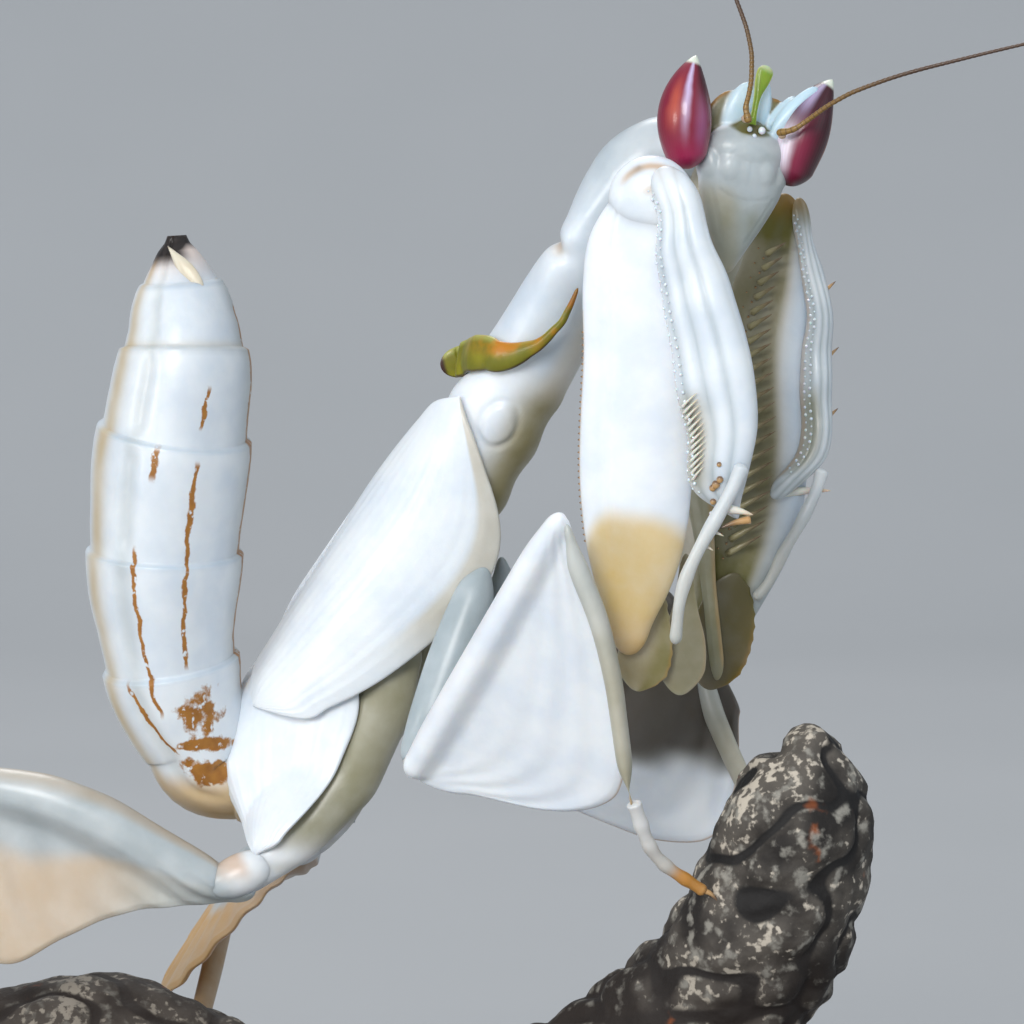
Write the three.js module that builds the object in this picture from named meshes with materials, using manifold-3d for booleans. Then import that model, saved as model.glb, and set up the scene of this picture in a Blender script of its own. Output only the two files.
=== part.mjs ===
// Orchid mantis, a nearly grown female nymph at life size, gripping a cut length of branch
// that a flat base and two rods hold up. Millimetres, +Z up. The mantis heads along +X, its
// right side is towards -Y, and the origin is under the middle of the base.
import * as THREE from 'three';
import { mergeVertices } from 'three/addons/utils/BufferGeometryUtils.js';
import Module from 'manifold-3d';

const wasm = await Module();
wasm.setup();

// Driving dimensions
const seam = 0.25; // clear gap between neighbouring parts
const petalEdge = 0.34; // half thickness of the petal-shaped leg lobes
const wingThickness = 0.27; // half thickness of the wing pads
const feeler = 0.26; // radius of an antenna
const baseLength = 46;
const baseWidth = 28;
const baseHeight = 3.6;
const baseCorner = 6;
const rodRadius = 1.1;
const rodTop = 16; // inside the branch, which the rods are cut to fit under
const rodPlaces = [3.4, -11.4]; // where along the base the two rods stand
const spurReach = 1.7; // length of the claw that ends each fore tibia
const simplified = 0.03; // largest change of shape when small facets are merged

// Body landmarks
const headCentre = [7.94, -0.88, 44.8];
const headYaw = -50; // degrees that the face is turned towards the mantis's right
const headRoll = -9.5; // degrees that the crown leans to its left
const chin = -3.4; // below the head's centre
const crown = 2.5; // above the head's centre
const eyeFoot = [0.3, 1.62, -0.45];
const eyePeak = [0.2, 2.1, 2.95];
const eyeWide = profile(0.35, 0.9, 1.05, 1, 0.8, 0.5, 0.12);
const eyeHigh = profile(0.3, 0.72, 0.82, 0.8, 0.66, 0.42, 0.12);
const faceWide = profile(0.25, 0.6, 0.78, 1.1, 1.5, 1.65, 1.4, 0.6);
const faceDeep = profile(0.3, 0.55, 0.7, 0.95, 1.15, 1.15, 0.9, 0.4);

const trunkLine = curve([
  [7.2, -0.2, 44.9], [4.8, 0, 45], [3, 0, 42.5], [1.1, 0, 39.4],
  [-0.8, 0, 36.1], [-2.9, 0, 32.6], [-5.4, 0, 28.6],
]);
const trunkCuts = {
  neck: 0, pronotum_front: 0.11, pronotum_rear: 0.27, mesothorax: 0.45, metathorax: 0.7,
};
const trunkWide = profile(0.8, 1.3, 2.1, 1.7, 1.6, 1.5, 1.45, 1.4, 1.25);
const trunkHigh = profile(0.7, 1.25, 1.4, 1.35, 1.5, 1.6, 1.6, 1.5, 1.15);
const trunkLift = profile(0, 0, 0, 0, 0.15, 0.25, 0.3, 0.2, 0);

const abdomenLine = curve([
  [-5.4, 0, 28.5], [-7.2, -0.2, 26.5], [-9, -0.8, 25.7], [-10.2, -1.6, 26.6], [-10.8, -2.2, 29],
  [-11, -2.5, 32], [-10.7, -2.6, 35.2], [-10.2, -2.6, 38.6], [-10.4, -2.6, 42.5],
]);
const abdomenCuts = [0, 0.213, 0.397, 0.552, 0.722, 0.838, 0.93, 1];
const abdomenSide = [0.438, -0.899, 0];
const abdomenWide = profile(1.2, 1.6, 2.2, 2.8, 3.1, 3.2, 2.95, 2.2, 0.7);
const abdomenHigh = profile(1.15, 1.6, 1.9, 2, 2.3, 2.42, 2.3, 1.75, 0.7);
const abdomenLift = profile(0, -0.1, -0.3, -0.2, 0, 0, 0, 0, 0);

// The joints of every leg, with the way in which the femur's petal hangs, the way a fore tibia's
// claw points, and how far the middle of a segment is bent out of its straight line
const legs = {
  fore_right: {
    hip: [4.7, -1.7, 41.9], trochanter: [5.4, -3.1, 30.4], knee: [6.2, -4.5, 44.6],
    ankle: [9.3, -4.5, 35.4], toe: [7.4, -4.1, 30.6], petal: [0.9, 0.2, 0], spur: [-0.68, 0.42, -0.6],
    bends: { coxa: [0.6, -0.2, 0], femur: [0.3, 0, 0], tibia: [0.5, 0, 0.2], tarsus: [-0.1, 0, 0] },
  },
  fore_left: {
    hip: [4.7, 1.7, 42.1], trochanter: [6, 2.2, 29], knee: [7.8, 3.4, 44.2],
    ankle: [8.7, 2.9, 35.4], toe: [7.1, 2.6, 31.2], petal: [0.9, 0.2, 0], spur: [-0.68, -0.42, -0.6],
    bends: { coxa: [0.5, 0, 0], femur: [-0.5, 0, 0], tibia: [0, 0, 0], tarsus: [0.2, 0, 0] },
  },
  mid_right: {
    hip: [-0.5, -0.9, 32.4], trochanter: [-1.8, -3.2, 26.2], knee: [4.4, -6, 34.4],
    ankle: [6.2, -4.8, 26.2], toe: [7.8, -2.8, 23.1], petal: [0.8, 0.34, -0.5],
    bends: { coxa: [0, 0, 0], femur: [0, -0.1, -0.1], tibia: [0.4, 0, 0.4], tarsus: [0, 0, -0.3] },
  },
  mid_left: {
    hip: [-0.8, 0.9, 32.2], trochanter: [-0.9, 3, 25], knee: [3.5, 6, 32.1],
    ankle: [6.2, 4.4, 24.9], toe: [8.3, 2.4, 22.7], petal: [0.8, 0.3, -0.55],
    bends: { coxa: [0, 0.1, 0], femur: [0, 0.1, -0.1], tibia: [-0.8, 0.3, -0.2], tarsus: [0, 0, -0.3] },
  },
  hind_right: {
    hip: [-3.4, -0.7, 29.8], trochanter: [-7.4, -4, 22.5], knee: [-17, -8.2, 25.6],
    ankle: [-17.8, -6.2, 18.6], toe: [-16.7, -4.3, 17.4], petal: [0, 0.2, -1],
    bends: { coxa: [0.4, 0.9, -0.7], femur: [0.1, -0.3, 1], tibia: [0, -0.2, 0], tarsus: [-0.2, 0, -0.3] },
  },
  hind_left: {
    hip: [-3.6, 0.9, 29.6], trochanter: [-9.1, 3.6, 22.2], knee: [-16.5, 11.2, 19.6],
    ankle: [-14.4, 5.4, 15.8], toe: [-12.9, 1.5, 15.6], petal: [-0.53, -0.33, -0.78],
    bends: { coxa: [0, 0.2, -0.3], femur: [0, 0, 0.2], tibia: [0, 0.2, 0], tarsus: [0, 0, 0.1] },
  },
};

const branchLine = curve([
  [9.7, -0.6, 27.9], [9.7, -0.5, 25.5], [9.3, -0.3, 23.1], [8, -0.1, 20.2], [5, 0, 17.3],
  [0.8, 0.1, 15], [-4.4, 0.1, 13.9], [-9.2, -0.6, 14.2], [-13.4, -1.7, 15.9], [-17.6, -2.8, 15.3],
  [-20.8, -4, 14.4],
]);
const branchRadius = profile(1.9, 2.4, 2.7, 2.7, 2.6, 2.5, 2.4, 2.4, 2.7, 2.5, 2.2);

// Shape helpers
function curve(points) {
  return new THREE.CatmullRomCurve3(points.map((point) => new THREE.Vector3(...point)));
}

// A smooth value along a part, through evenly spaced sizes
function profile(...sizes) {
  const spline = new THREE.SplineCurve(sizes.map((size, index) => new THREE.Vector2(index, size)));
  return (along) => spline.getPoint(along).y;
}

// A curve between two joints, its middle moved by a small bend
function bowed(start, end, bend = [0, 0, 0]) {
  const middle = start.map((value, axis) => (value + end[axis]) / 2 + bend[axis]);
  return curve([start, middle, end]);
}

// Sections: each gives a ring's offsets to the side and upwards, at a place along the part
const oval = (wide, high, lift = () => 0) => (along, angle, reach, extra) => [
  (wide(along) + extra) * reach * Math.cos(angle),
  lift(along) + (high(along) + extra) * reach * Math.sin(angle),
];

// A shaft with a thin petal growing out of one side
const petalled = (shaft, petal) => (along, angle, reach, extra) => {
  const outward = Math.max(0, Math.cos(angle));
  const thinned = THREE.MathUtils.smoothstep(outward, 0, 0.7);
  const thin = Math.min(petalEdge, shaft(along));
  const thickness = THREE.MathUtils.lerp(shaft(along), thin, thinned) + extra;
  return [
    reach * (Math.cos(angle) * (shaft(along) + extra) + outward * petal(along)),
    reach * Math.sin(angle) * thickness,
  ];
};

// A thin plate bowed across its width, as a wing pad is
const plate = (wide, bow, thickness) => (along, angle, reach, extra) => {
  const swing = ((wide(along) + extra) * reach * Math.cos(angle)) / bow;
  const out = bow + (thickness + extra) * reach * Math.sin(angle);
  return [out * Math.sin(swing), out * Math.cos(swing) - bow];
};

// A closed body swept along a line. Its ends may be rounded over a share of the length, and extra
// makes it that much bigger all round.
function sweep({ line, side, sides, steps, section, from = 0, to = 1, ends = [0, 0] }) {
  const across = new THREE.Vector3(...side);
  return (extra) => {
    const geometry = new THREE.CylinderGeometry(1, 1, 1, sides, steps);
    const vertices = geometry.attributes.position;
    for (let i = 0; i < vertices.count; i += 1) {
      const ring = 0.5 - vertices.getY(i);
      const share = (1 - Math.cos(Math.PI * ring)) / 2;
      const along = from + (to - from) * share;
      const angle = Math.atan2(vertices.getZ(i), vertices.getX(i));
      const dome = rounded(share, ends[0]) * rounded(1 - share, ends[1]);
      const reach = dome * Math.hypot(vertices.getX(i), vertices.getZ(i));
      const heading = line.getTangentAt(along);
      const lateral = across.clone().addScaledVector(heading, -across.dot(heading)).normalize();
      const upper = heading.clone().cross(lateral);
      const [sideways, upwards] = section(along, angle, reach, extra);
      const point = line.getPointAt(along)
        .addScaledVector(heading, (2 * ring - 1) * extra)
        .addScaledVector(lateral, sideways)
        .addScaledVector(upper, upwards);
      vertices.setXYZ(i, point.x, point.y, point.z);
    }
    return geometry;
  };
}

function rounded(share, end) {
  return share >= end ? 1 : Math.sqrt(1 - 0.94 * (1 - share / end) ** 2);
}

// Solids: every part is cut clear of the parts fitted before it
const mantis = new THREE.Group();
const fitted = [];

function solidOf(shape, extra, home) {
  const raw = shape(extra).applyMatrix4(home.matrixWorld);
  raw.deleteAttribute('normal');
  raw.deleteAttribute('uv');
  const merged = mergeVertices(raw, 1e-4);
  const triVerts = new Uint32Array(merged.index.array);
  const vertProperties = new Float32Array(merged.attributes.position.array);
  return new wasm.Manifold(new wasm.Mesh({ numProp: 3, vertProperties, triVerts }));
}

function largest(solid) {
  return solid.decompose().reduce((best, piece) => (piece.volume() > best.volume() ? piece : best));
}

function geometryOf(solid, home) {
  const { vertProperties, triVerts } = solid.getMesh();
  const geometry = new THREE.BufferGeometry();
  geometry.setAttribute('position', new THREE.BufferAttribute(vertProperties, 3));
  geometry.setIndex(new THREE.BufferAttribute(triVerts, 1));
  geometry.applyMatrix4(home.matrixWorld.clone().invert());
  geometry.computeVertexNormals();
  return geometry;
}

function add(name, finish, shapes, home = mantis) {
  const pieces = [shapes].flat();
  const joined = (extra) => pieces
    .map((shape) => solidOf(shape, extra, home))
    .reduce((whole, piece) => whole.add(piece));
  const clear = fitted.reduce((solid, neighbour) => solid.subtract(neighbour), joined(0));
  fitted.push(joined(seam));
  const mesh = new THREE.Mesh(geometryOf(largest(clear.simplify(simplified)), home), finish());
  mesh.name = name;
  home.add(mesh);
}

// Finishes
function paint(color, roughness) {
  return () => new THREE.MeshStandardMaterial({ color, roughness, metalness: 0 });
}
const porcelain = paint('#f0efec', 0.4);
const beige = paint('#d9cfae', 0.45);
const wineEye = paint('#7a1c3b', 0.2);
const leafGreen = paint('#8b9a1c', 0.4);
const russet = paint('#a5652c', 0.5);
const bark = paint('#54483d', 0.9);
const darkWood = paint('#33271f', 0.5);
const steel = paint('#8d8f92', 0.35);

// Stand and perch
function makeStand() {
  const home = new THREE.Group();
  mantis.add(home);
  const halfLength = baseLength / 2 - baseCorner;
  const halfWidth = baseWidth / 2 - baseCorner;
  const outline = (extra) => {
    const shape = new THREE.Shape();
    const corner = baseCorner + extra;
    shape.absarc(halfLength, halfWidth, corner, 0, Math.PI / 2);
    shape.absarc(-halfLength, halfWidth, corner, Math.PI / 2, Math.PI);
    shape.absarc(-halfLength, -halfWidth, corner, Math.PI, 1.5 * Math.PI);
    shape.absarc(halfLength, -halfWidth, corner, 1.5 * Math.PI, 2 * Math.PI);
    return shape;
  };
  const base = (extra) => new THREE.ExtrudeGeometry(
    outline(extra),
    { depth: baseHeight + extra, bevelEnabled: false, curveSegments: 6 },
  );
  add('stand_base', darkWood, base, home);
  add('perch_branch', bark, branch());
  rodPlaces.forEach((place, index) => {
    const rod = (extra) => new THREE.CylinderGeometry(rodRadius + extra, rodRadius + extra, rodTop, 12)
      .rotateX(Math.PI / 2)
      .translate(place, 0, rodTop / 2);
    add(`stand_rod_${index + 1}`, steel, rod, home);
  });
}

// Rough bark makes the branch a little uneven in the round
function branch() {
  const knobbly = (along, angle) => (
    1 + 0.05 * Math.sin(3 * angle + 14 * along) + 0.03 * Math.sin(25 * along)
  );
  const section = (along, angle, reach, extra) => {
    const radius = (branchRadius(along) * knobbly(along, angle) + extra) * reach;
    return [radius * Math.cos(angle), radius * Math.sin(angle)];
  };
  return sweep({ line: branchLine, side: [0, -1, 0], sides: 12, steps: 18, section, ends: [0.07, 0] });
}

// Trunk: neck, the two halves of the pronotum with its raised green collar, and the hind thorax
function makeTrunk() {
  const names = Object.keys(trunkCuts);
  const ends = [...Object.values(trunkCuts), 1];
  names.forEach((name, index) => {
    const shape = sweep({
      line: trunkLine, side: [0, -1, 0], sides: 12, steps: 4, from: ends[index], to: ends[index + 1],
      section: oval(trunkWide, trunkHigh, trunkLift),
    });
    add(name, porcelain, shape);
  });
  const half = [
    [-1.7, 0, 38.9], [-0.3, -1.2, 39], [1.4, -1.95, 39], [2.5, -2.05, 39.7], [3.1, -1.95, 40.9],
  ];
  const mirrored = half.slice(1).map(([x, y, z]) => [x, -y, z]);
  const line = curve([...half.slice(1).reverse(), half[0], ...mirrored]);
  const section = oval(profile(0.12, 0.3, 0.5, 0.3, 0.12), profile(0.2, 0.3, 0.55, 0.3, 0.2));
  const collar = sweep({ line, side: [-0.53, 0, -0.85], sides: 8, steps: 10, section });
  add('pronotum_collar', leafGreen, collar);
}

// Wing pads lie along both flanks, the front pair over the roots of the hind pair
function makeWingPads() {
  const pads = {
    forewing_pad: {
      points: [[-1, -1.4, 37.8], [-3.1, -1.85, 34], [-5.1, -2.1, 31], [-7.2, -2.7, 27.5]],
      wide: profile(0.8, 2.2, 2.7, 2.7, 2.2), bow: 2.7,
    },
    hindwing_pad: {
      points: [[-5.5, -1.7, 29.9], [-6.5, -2.15, 27.4], [-6.5, -2.6, 25.4], [-6.3, -3, 23.5]],
      wide: profile(1.3, 1.8, 1.8, 1.4, 0.8), bow: 2.8,
    },
  };
  for (const [name, { points, wide, bow }] of Object.entries(pads)) {
    for (const [label, hand] of [['right', 1], ['left', -1]]) {
      const shape = sweep({
        line: curve(points.map(([x, y, z]) => [x, hand * y, z])), side: [0.81 * hand, -0.29, -0.5 * hand],
        sides: 12, steps: 8, section: plate(wide, bow, wingThickness), ends: [0.1, 0.16],
      });
      add(`${name}_${label}`, porcelain, shape);
    }
  }
}

// The abdomen curls up behind, in lengths parted where its rings meet, and ends in two cerci
function makeAbdomen() {
  for (let index = 0; index + 1 < abdomenCuts.length; index += 1) {
    const tip = index + 2 === abdomenCuts.length;
    const shape = sweep({
      line: abdomenLine, side: abdomenSide, sides: 14, steps: 3,
      from: abdomenCuts[index], to: abdomenCuts[index + 1], ends: [0, tip ? 0.9 : 0],
      section: oval(abdomenWide, abdomenHigh, abdomenLift),
    });
    add(`abdomen_${index + 1}`, tip ? russet : porcelain, shape);
  }
  for (const [label, y] of [['right', -3], ['left', -2.2]]) {
    const line = curve([[-10.1, y, 42.1], [-9.4, y - 0.2, 41.6], [-9, y - 0.3, 40.8]]);
    const section = oval(profile(0.32, 0.36, 0.22), profile(0.32, 0.36, 0.22));
    add(`cercus_${label}`, porcelain, sweep({ line, side: [0, -1, 0], sides: 8, steps: 4, section }));
  }
}

// Head: built about its own centre, face forward along +X, then turned towards the right
function makeHead() {
  const home = new THREE.Group();
  home.position.set(...headCentre);
  const turn = [headRoll, 0, headYaw].map(THREE.MathUtils.degToRad);
  home.rotation.set(...turn, 'ZYX');
  mantis.add(home);
  home.updateMatrixWorld();

  for (const [label, hand] of [['right', -1], ['left', 1]]) {
    const reach = ([x, y, z]) => [x, hand * y, z];
    const line = bowed(reach(eyeFoot), reach(eyePeak), [0.1, hand * 0.08, 0]);
    const section = oval(eyeWide, eyeHigh);
    add(`eye_${label}`, wineEye, sweep({ line, side: [1, 0, 0], sides: 10, steps: 8, section }), home);
  }

  const face = sweep({
    line: curve([[0.2, 0, chin], [0.35, 0, -1.5], [0.1, 0, 0.6], [0.1, 0, crown]]), side: [0, -1, 0],
    sides: 12, steps: 10, section: oval(faceWide, faceDeep), ends: [0.04, 0.06],
  });
  add('head', porcelain, face, home);

  const horn = sweep({
    line: curve([[0.8, 0, crown - 1.2], [0.72, 0.08, crown - 0.2], [0.6, 0.16, crown + 0.6]]),
    side: [0, -1, 0], sides: 8, steps: 5, ends: [0, 0.3],
    section: oval(profile(0.3, 0.28, 0.3), profile(0.3, 0.28, 0.26)),
  });
  add('head_horn', leafGreen, horn, home);

  const feelers = {
    antenna_right: [[1, -0.5, 1], [1.35, -0.4, 2.4], [1.2, -0.6, 3.6], [0.8, -1.1, 4.7], [-0.1, -2.8, 8]],
    antenna_left: [[1, 0.7, 1], [1.5, 1.3, 1.4], [2.2, 1.9, 2.2], [3.2, 3.4, 3.2], [5.6, 7.5, 5.1]],
  };
  for (const [name, points] of Object.entries(feelers)) {
    const section = oval(() => feeler, () => feeler);
    const line = curve(points);
    const shape = sweep({ line, side: [0, 0.3, 1], sides: 6, steps: 12, section, ends: [0, 0.02] });
    add(name, russet, shape, home);
  }
}

// Sizes of each kind of leg, hip to toe: half widths in the leg's own plane and half thicknesses
const foreSizes = {
  femur: oval(
    profile(0.4, 1.25, 1.65, 1.6, 1.45, 1.3, 1.15, 0.6),
    profile(0.35, 0.65, 0.75, 0.78, 0.72, 0.65, 0.55, 0.4),
  ),
  tibia: oval(profile(0.5, 0.95, 1.1, 1.05, 0.95, 0.5), profile(0.4, 0.55, 0.6, 0.6, 0.5, 0.4)),
  coxa: petalled(profile(0.9, 0.95, 0.9, 0.8, 0.7, 0.5), profile(0, 0, 0, 0.3, 0.9, 0.3)),
  tarsus: oval(profile(0.32, 0.3, 0.25), profile(0.32, 0.3, 0.25)),
};
const midSizes = {
  femur: petalled(profile(0.45, 0.5, 0.5, 0.5, 0.48, 0.45, 0.4), profile(0.8, 4.9, 5.2, 4.5, 3.4, 1.8, 0)),
  tibia: oval(profile(0.38, 0.42, 0.42, 0.4), profile(0.36, 0.38, 0.38, 0.36)),
  coxa: oval(profile(0.5, 0.75, 0.75, 0.6), profile(0.5, 0.7, 0.65, 0.5)),
  tarsus: oval(profile(0.3, 0.28, 0.25), profile(0.3, 0.28, 0.25)),
};
const hindSizes = {
  femur: petalled(profile(0.6, 0.75, 0.8, 0.8, 0.7, 0.6, 0.4), profile(0, 0.6, 2.4, 4.2, 5.3, 4.6, 0.4)),
  tibia: midSizes.tibia,
  coxa: oval(profile(0.8, 1, 1, 0.7), profile(0.6, 0.8, 0.75, 0.55)),
  tarsus: midSizes.tarsus,
};

function makeLeg(name, sizes, leg) {
  const segments = {
    femur: { from: leg.trochanter, to: leg.knee, sides: 12, steps: 9, ends: [0.05, 0.05] },
    tibia: { from: leg.knee, to: leg.ankle, sides: 8, steps: 7, ends: [0.08, 0.05] },
    tarsus: { from: leg.ankle, to: leg.toe, sides: 6, steps: 4, ends: [0.1, 0.15] },
    coxa: { from: leg.hip, to: leg.trochanter, sides: 8, steps: 6, ends: [0.05, 0.08] },
  };
  for (const [segment, { from, to, sides, steps, ends }] of Object.entries(segments)) {
    const line = bowed(from, to, leg.bends[segment]);
    const shapes = [sweep({ line, side: leg.petal, sides, steps, ends, section: sizes[segment] })];
    if (leg.spur && segment === 'tibia') {
      shapes.push(spur(leg));
    }
    add(`${name}_${segment}`, segment === 'coxa' && !name.startsWith('mid') ? beige : porcelain, shapes);
  }
}

// The curved claw at the end of a fore tibia, pointing back to the femur that it folds against
function spur(leg) {
  const from = leg.ankle.map((value, axis) => value + (axis === 2 ? 0.7 : -0.15 * leg.spur[axis]));
  const to = leg.ankle.map((value, axis) => value + spurReach * leg.spur[axis]);
  const size = profile(0.42, 0.36, 0.25);
  return sweep({
    line: bowed(from, to, [0.2, 0, -0.2]), side: [0, -1, 0], sides: 6, steps: 4,
    section: oval(size, size), ends: [0.1, 0.1],
  });
}

makeStand();
makeTrunk();
makeAbdomen();
makeWingPads();
makeHead();
for (const [name, leg] of Object.entries(legs)) {
  const sizes = { fore: foreSizes, mid: midSizes, hind: hindSizes }[name.split('_')[0]];
  makeLeg(name, sizes, leg);
}

export default mantis;
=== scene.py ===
import math

import bpy
import numpy as np
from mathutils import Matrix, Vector, noise


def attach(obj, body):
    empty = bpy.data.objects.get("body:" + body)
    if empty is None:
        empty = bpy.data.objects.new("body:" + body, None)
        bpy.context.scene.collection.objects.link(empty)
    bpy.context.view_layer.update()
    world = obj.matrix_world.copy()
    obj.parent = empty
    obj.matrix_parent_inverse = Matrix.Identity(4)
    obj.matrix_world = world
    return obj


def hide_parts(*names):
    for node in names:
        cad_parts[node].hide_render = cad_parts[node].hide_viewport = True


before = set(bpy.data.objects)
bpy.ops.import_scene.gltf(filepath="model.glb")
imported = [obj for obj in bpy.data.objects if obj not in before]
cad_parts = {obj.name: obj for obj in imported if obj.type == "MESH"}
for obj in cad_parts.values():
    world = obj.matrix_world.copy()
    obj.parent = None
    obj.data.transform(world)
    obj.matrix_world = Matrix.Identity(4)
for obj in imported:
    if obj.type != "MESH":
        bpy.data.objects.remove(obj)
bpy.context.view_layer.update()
tau = 2 * math.pi

# The ways the model is looked at in its main view
right, back, up = np.array([0.899, 0.438, 0]), np.array([-0.438, 0.899, 0]), np.array([0, 0, 1.0])


# Small sums that every piece uses
def unit(v):
    v = np.asarray(v, float)
    return v / np.maximum(np.linalg.norm(v, axis=-1, keepdims=True), 1e-12)


def smooth(low, high, x):
    t = np.clip((np.asarray(x, float) - low) / (high - low), 0, 1)
    return t * t * (3 - 2 * t)


def bump(middle, width, x):
    return np.exp(-(((np.asarray(x, float) - middle) / width) ** 2))


def rough(points, size, seed=0.0):
    return np.array([noise.noise(Vector(p) / size + Vector((seed, 0, 0))) for p in points])


# A smooth run through evenly spaced values, at shares t of the way
def through(values, t):
    v = np.asarray(values, float)
    v = np.concatenate([[2 * v[0] - v[1]], v, [2 * v[-1] - v[-2]]])
    t = np.clip(np.asarray(t, float), 0, 1) * (len(v) - 3)
    i = np.minimum(t.astype(int), len(v) - 4)
    f = t - i
    f = f.reshape(f.shape + (1,) * (v.ndim - 1))
    a, b, c, d = v[i], v[i + 1], v[i + 2], v[i + 3]
    return b + 0.5 * f * (c - a + f * (2 * a - 5 * b + 4 * c - d + f * (3 * (b - c) + d - a)))


# A smooth run through values measured at uneven places
def eased(places, values, wide=0.03, count=400):
    even = np.linspace(0, 1, count)
    reach = round(wide * 3 * count)
    weights = np.exp(-(np.linspace(-3, 3, 2 * reach + 1) ** 2) / 2)
    table = np.pad(np.interp(even, places, values), reach, mode="edge")
    table = np.convolve(table, weights / weights.sum(), mode="valid")
    return lambda u: np.interp(u, even, table)


# Sizes along a sweep: one that stays the same, and one that runs through values
def steady(value):
    return lambda u: value + 0 * u


def varied(*values):
    return lambda u: through(values, u)


# The share of a curve's length that lies before each of its points
def measured(points):
    run = np.concatenate([[0], np.cumsum(np.linalg.norm(np.diff(points, axis=0), axis=1))])
    return run / run[-1]


# Points along a curve, at shares of its length
def strand(points, shares):
    dense = through(points, np.linspace(0, 1, 600))
    run = measured(dense)
    return np.stack([np.interp(shares, run, dense[:, k]) for k in range(3)], axis=1)


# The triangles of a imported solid
def corners(name):
    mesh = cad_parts[name].data
    spots = np.array([v.co for v in mesh.vertices]) * 1000
    return spots[np.array([list(p.vertices) for p in mesh.polygons])]


# Where a plane meets triangles, within reach of a point
def cut(triangles, point, heading, reach):
    away = (triangles - point) @ heading
    found = []
    for a, b in ((0, 1), (1, 2), (2, 0)):
        hit = away[:, a] * away[:, b] < 0
        t = away[hit, a] / (away[hit, a] - away[hit, b])
        found.append(triangles[hit, a] + t[:, None] * (triangles[hit, b] - triangles[hit, a]))
    found = np.concatenate(found)
    return found[np.linalg.norm(found - point, axis=1) < reach]


# The two ends of a long solid
def tips(name, depth=0.25):
    spots = corners(name).reshape(-1, 3)
    middle = spots.mean(axis=0)
    axis = np.linalg.svd(spots - middle, full_matrices=False)[2][0]
    run = (spots - middle) @ axis
    return [spots[run < run.min() + depth].mean(axis=0), spots[run > run.max() - depth].mean(axis=0)]


def endOf(name, direction, depth=0.3):
    spots = corners(name).reshape(-1, 3)
    run = spots @ unit(direction)
    return spots[run > run.max() - depth].mean(axis=0)


# The two ways across a heading, the first as near as can be to the given side
def framing(heading, side):
    side = np.asarray(side, float)
    across = unit(side - heading * np.sum(side * heading, axis=-1, keepdims=True))
    return across, np.cross(heading, across)


# The middle of a slice, with its half width and half height
def sized(found, spot, across, upper):
    s, d = (found - spot) @ across, (found - spot) @ upper
    middle = spot + across * (s.min() + s.max()) / 2 + upper * (d.min() + d.max()) / 2
    return middle, [np.ptp(s) / 2, np.ptp(d) / 2]


# Follows one curved solid from an end: its middle line, and its half width and half height there
def trace(name, start, heading, side, step, reach):
    triangles = corners(name)
    heading = unit(heading)
    spot = np.asarray(start, float) + heading * step * 0.5
    middles, sizes = [], []
    missed = 0
    while missed < 3:
        across, upper = framing(heading, side)
        # planes a little to either side find enough points on a slim solid
        found = [cut(triangles, spot + heading * ahead, heading, reach) for ahead in (-0.28, 0, 0.28)]
        found = np.concatenate(found)
        if len(found) < 6:
            missed += 1
            spot = spot + heading * step * 0.3
            continue
        missed = 0
        middle, size = sized(found, spot, across, upper)
        if middles:
            heading = unit(heading + unit(middle - middles[-1]))
        middles.append(middle)
        sizes.append(size)
        spot = middle + heading * step
    return np.array(middles), np.array(sizes)


# Follows a chain of nodes from one to the next: a line through their middles, the half width and
# half height at each of its points, and the shares of its length where two nodes meet
def follow(names, start, end, side, inner=(0.18, 0.4, 0.62, 0.84)):
    owned = [corners(name) for name in names]
    spots = [np.unique(own.reshape(-1, 3).round(4), axis=0) for own in owned]
    rings = []
    for a, b in zip(spots, spots[1:]):
        gap = np.linalg.norm(a[:, None] - b[None], axis=2)
        rings.append(np.concatenate([a[gap.min(axis=1) < 0.5], b[gap.min(axis=0) < 0.5]]))
    marks = np.array([start, *[ring.mean(axis=0) for ring in rings], end])
    line, sizes, knots = [np.asarray(start, float)], [[0.0, 0.0]], []
    for k, own in enumerate(owned):
        for share in inner:
            spot, ahead = through(marks, np.array([k + share, k + share + 0.02]) / len(names))
            heading = unit(ahead - spot)
            found = cut(own, spot, heading, 6)
            if len(found) < 6:
                continue
            middle, size = sized(found, spot, *framing(heading, side))
            line.append(middle)
            sizes.append(size)
        if k < len(rings):
            knots.append(len(line) - 0.5)
    line, sizes = np.array([*line, end]), np.array([*sizes, sizes[-1]])
    sizes[0] = sizes[1]
    even = np.linspace(0, 1, 2000)
    places = np.interp(np.arange(len(line)) / (len(line) - 1), even, measured(through(line, even)))
    edges = np.interp(knots, np.arange(len(line)), places)
    return line, sizes, places, [0.0, *edges, 1.0]


# Slices of a limb between two joints: the way it is widest, and its two edges and two faces
def slices(name, start, end, hint, count=11):
    triangles = corners(name)
    heading = unit(end - start)
    shares = np.linspace(0.05, 0.95, count)
    found = [cut(triangles, start + (end - start) * share, heading, 12) for share in shares]
    middle = found[count // 2] - found[count // 2].mean(axis=0)
    across = np.linalg.svd(middle, full_matrices=False)[2][0]
    across = across * np.sign(across @ np.asarray(hint, float))
    across, upper = framing(heading, across)
    rows = []
    for share, points in zip(shares, found):
        if len(points) < 4:
            continue
        s, d = (points - start) @ across, (points - start) @ upper
        shaft = s < s.min() + 1.0
        rows.append([share, s.min(), s.max(), d[shaft].min(), d[shaft].max()])
    rows = np.array(rows)
    return across, upper, [eased(rows[:, 0], rows[:, column]) for column in range(1, 5)]


# A sheet is part of a mesh: its points, faces and fields
def sheetOf(points, faces):
    return {"points": np.asarray(points, float), "faces": faces, "fields": {}}


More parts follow.
